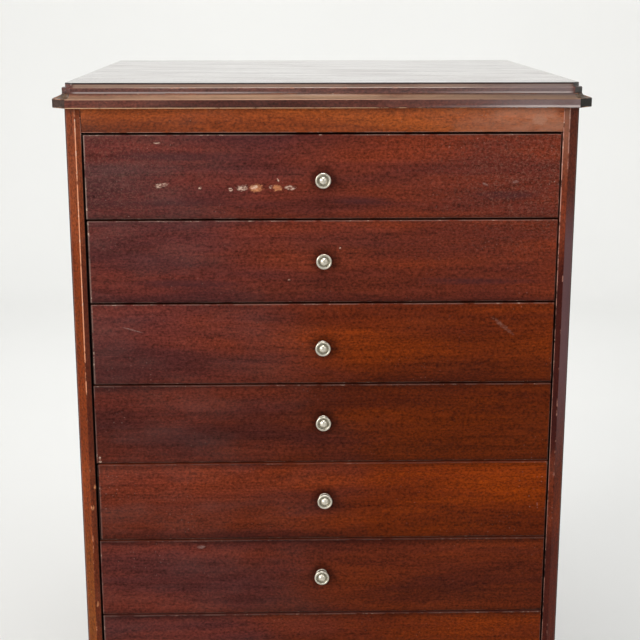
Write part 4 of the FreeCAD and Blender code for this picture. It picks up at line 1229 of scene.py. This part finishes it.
dome_height = DOME_TOP - GROOVE_LEVEL
dome_ball = (DOME_RADIUS ** 2 + dome_height ** 2) / (2 * dome_height)
dome_centre = (0.0, DOME_TOP - dome_ball)
dome_foot = math.degrees(math.asin((GROOVE_LEVEL - dome_centre[1]) / dome_ball))
groove_centre = (DOME_RADIUS + GROOVE_WIDTH / 2, GROOVE_LEVEL)
bead_radius = (KNOB_RADIUS - DOME_RADIUS - GROOVE_WIDTH) / 2
bead_centre = (KNOB_RADIUS - bead_radius, RIM_TOP - bead_radius)
rose_edge = ROSE_RADIUS - ROSE_ROUND
thread_start = THREAD_INSET - FRONT_THICKNESS
knob_profile = [
    (0.0, DOME_TOP, 0.0),
    # The dome's lower slope is darkened as painted shade; the groove, neck and threads darken with grime.
    *arc(dome_centre, dome_ball, (86, dome_foot), 12, (0.0, 0.25)),
    *arc(groove_centre, GROOVE_WIDTH / 2, (180, 360), 8, (0.7, 0.7)),
    *arc(bead_centre, bead_radius, (180, -10), 14, (0.3, 0.0)),
    (KNOB_RADIUS - 0.0003, KNOB_BACK + 0.0002, 0.3),
    (KNOB_RADIUS - 0.0006, KNOB_BACK, 0.5),
    (HEAD_BACK_RADIUS, KNOB_BACK, 0.8),
    (NECK_RADIUS + 0.0009, NECK_LENGTH + 0.0003, 0.9),
    (NECK_RADIUS, NECK_LENGTH - 0.0008, 0.8),
    (NECK_RADIUS - 0.0002, NECK_WAIST, 0.8),
    (NECK_RADIUS + 0.0002, ROSE_THICKNESS + 0.0004, 0.9),
    (rose_edge, ROSE_THICKNESS, 0.8),
    *arc((rose_edge, ROSE_THICKNESS - ROSE_ROUND), ROSE_ROUND, (90, 0), 4, (0.4, 0.0)),
    (ROSE_RADIUS, 0.0, 1.0),
    (STEM_RADIUS, 0.0, 1.0),
    (STEM_RADIUS, thread_start, 0.6),
]
for turn in range(int((thread_start - STEM_END) / THREAD_PITCH)):
    crest = thread_start - turn * THREAD_PITCH
    knob_profile.append((STEM_RADIUS - THREAD_DEPTH, crest - 0.5 * THREAD_PITCH, 0.9))
    knob_profile.append((STEM_RADIUS, crest - THREAD_PITCH, 0.4))
knob_profile += [(STEM_RADIUS - 0.0006, STEM_END, 0.4), (0.0, STEM_END, 0.4)]

finish = Finish("knob_nickel_aged", METAL_SHINE, metal=1.0)
tree = finish.tree
finish.colour = NICKEL
finish.rough = NICKEL_ROUGH
tarnish = ease(tree, finish.cloud(0.004, 0.004, 4.0, 0.6), 0.35, 0.75)
finish.layer(NICKEL_TARNISH, tarnish, 0.5, rough=WAXED)
caught = calc(tree, "MULTIPLY_ADD", tarnish, 0.3, 0.6)
finish.layer(NICKEL_GRIME_AND_SHADE, mask_of(finish, "grime"), caught, rough=DULL)
finish.height = finish.cloud(0.0015, 0.0015, 2.0)
aged_nickel = finish.close(NICKEL_RELIEF)

for number in DRAWERS:
    node = f"drawer_{number}_knob"
    low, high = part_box(node)
    front_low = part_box(f"drawer_{number}_front")[0]
    shape = turned(knob_profile, KNOB_SIDES)
    nut_place = Matrix.Translation((0, FRONT_THICKNESS + NUT_HEIGHT / 2, 0))
    nut = bmesh.ops.create_cone(
        shape, cap_ends=True, segments=NUT_SIDES, radius1=NUT_RADIUS, radius2=NUT_RADIUS, depth=NUT_HEIGHT,
        matrix=nut_place @ Matrix.Rotation(math.pi / 2, 4, "X"))
    nut_edges = list({edge for vertex in nut["verts"] for edge in vertex.link_edges})
    bmesh.ops.bevel(shape, geom=nut_edges, offset=NUT_ROUND, segments=2, profile=0.5, affect="EDGES")
    bmesh.ops.remove_doubles(shape, verts=shape.verts, dist=MERGED)
    bmesh.ops.recalc_face_normals(shape, faces=shape.faces)
    for face in shape.faces:
        face.smooth = True
    for edge in shape.edges:
        edge.smooth = edge.calc_face_angle(0.0) < KNOB_SHARP_OVER
    seat = Matrix.Translation(((low.x + high.x) / 2, front_low.y, (low.z + high.z) / 2))
    shape.transform(seat @ Matrix.Rotation(KNOB_SPIN * number, 4, "Y"))
    stand_in(cast(shape, node + "_turned"), aged_nickel, node)


# Studio: a round pale paper floor that sweeps up into a wall, one large soft lamp to the front left, a weak
# one to the right, one above, and one on the wall behind, which the polished top mirrors. The paper glows a
# little for the camera and in gloss, so that it is pale all round with no more light on the cabinet.

FLOOR_RADIUS = 2.7
SWEEP_RADIUS = 0.9
WALL_TOP = 3.4
FLOOR_SIDES = 96
PAPER_GREY = (203, 203, 201)
PAPER_WHITE = (255, 255, 252)
PAPER_SHINE = 0.1
PAPER_ROUGH = 0.9
PAPER_RELIEF = 0.0001
PAPER_GLOW = 0.22
SKY_TINT = (0.95, 0.97, 1.0, 1.0)
SKY_STRENGTH = 0.2

sweep = [
    (0.0, 0.0, 0.0), (FLOOR_RADIUS, 0.0, 0.0),
    *arc((FLOOR_RADIUS, SWEEP_RADIUS), SWEEP_RADIUS, (-85, 0), 17, (0.0, 0.0)),
    (FLOOR_RADIUS + SWEEP_RADIUS, WALL_TOP, 0.0),
]
shape = turned(sweep, FLOOR_SIDES)
shape.transform(Matrix.Rotation(-math.pi / 2, 4, "X"))
for face in shape.faces:
    face.smooth = True
bmesh.ops.recalc_face_normals(shape, faces=shape.faces)
bmesh.ops.reverse_faces(shape, faces=shape.faces)
floor = set_down("studio_floor", cast(shape, "studio_floor"))
finish = Finish("studio_paper", PAPER_SHINE)
tree = finish.tree
finish.colour = PAPER_GREY
finish.rough = PAPER_ROUGH
finish.shade(ease(tree, finish.cloud(0.5, 0.5, 2.0), 0.3, 0.7, 0.985, 1.0))
finish.height = finish.cloud(0.004, 0.004, 2.0)
seen_by = put(tree, "LightPath").outputs
shown = calc(tree, "MAXIMUM", seen_by["Is Camera Ray"], seen_by["Is Glossy Ray"])
feed(tree, finish.shader, {
    "Emission Color": PAPER_WHITE, "Emission Strength": calc(tree, "MULTIPLY", shown, PAPER_GLOW)})
floor.data.materials.append(finish.close(PAPER_RELIEF))
floor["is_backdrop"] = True


def lamp(name, place, aim, size, power, tint=(1.0, 1.0, 1.0)):
    """A square soft lamp at a place, turned to face a point."""
    light = bpy.data.lights.new(name, "AREA")
    light.size = size
    light.energy = power
    light.color = tint
    holder = set_down(name, light)
    holder.location = place
    holder.rotation_euler = (Vector(aim) - Vector(place)).to_track_quat("-Z", "Y").to_euler()
    holder.visible_camera = False


lamp("key_lamp", (-1.9, -1.8, 1.5), (0, -0.2, 0.55), 1.4, 53, (1.0, 0.98, 0.95))
lamp("fill_lamp", (1.6, -1.6, 1.7), (0, -0.2, 0.5), 1.0, 9, (0.95, 0.97, 1.0))
lamp("ceiling_lamp", (0.0, -0.7, 2.6), (0, -0.2, 0.5), 1.0, 27)
lamp("wall_lamp", (0.0, 1.3, 2.6), (0, 3.4, 1.0), 1.6, 60)

world = bpy.data.worlds.new("studio_world")
world.use_nodes = True
feed(world.node_tree, world.node_tree.nodes["Background"], {"Color": SKY_TINT, "Strength": SKY_STRENGTH})
bpy.context.scene.world = world


# Camera: where the photograph was taken from, a little above the top and three fingers left of the middle,
# tilted down and turned a little to the right.

LENS_MM = 74.58
SENSOR_MM = 36
CAMERA_PLACE = (-0.0335, -1.5019, 0.9584)
CAMERA_TILT = math.radians(76.18)
CAMERA_TURN = math.radians(-1.35)

camera_data = bpy.data.cameras.new("camera")
camera_data.sensor_width = SENSOR_MM
camera_data.lens = LENS_MM
camera = set_down("camera", camera_data)
camera.location = CAMERA_PLACE
camera.rotation_euler = (CAMERA_TILT, 0.0, CAMERA_TURN)
bpy.context.scene.camera = camera
bpy.context.scene.view_settings.view_transform = "Standard"

low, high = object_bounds()
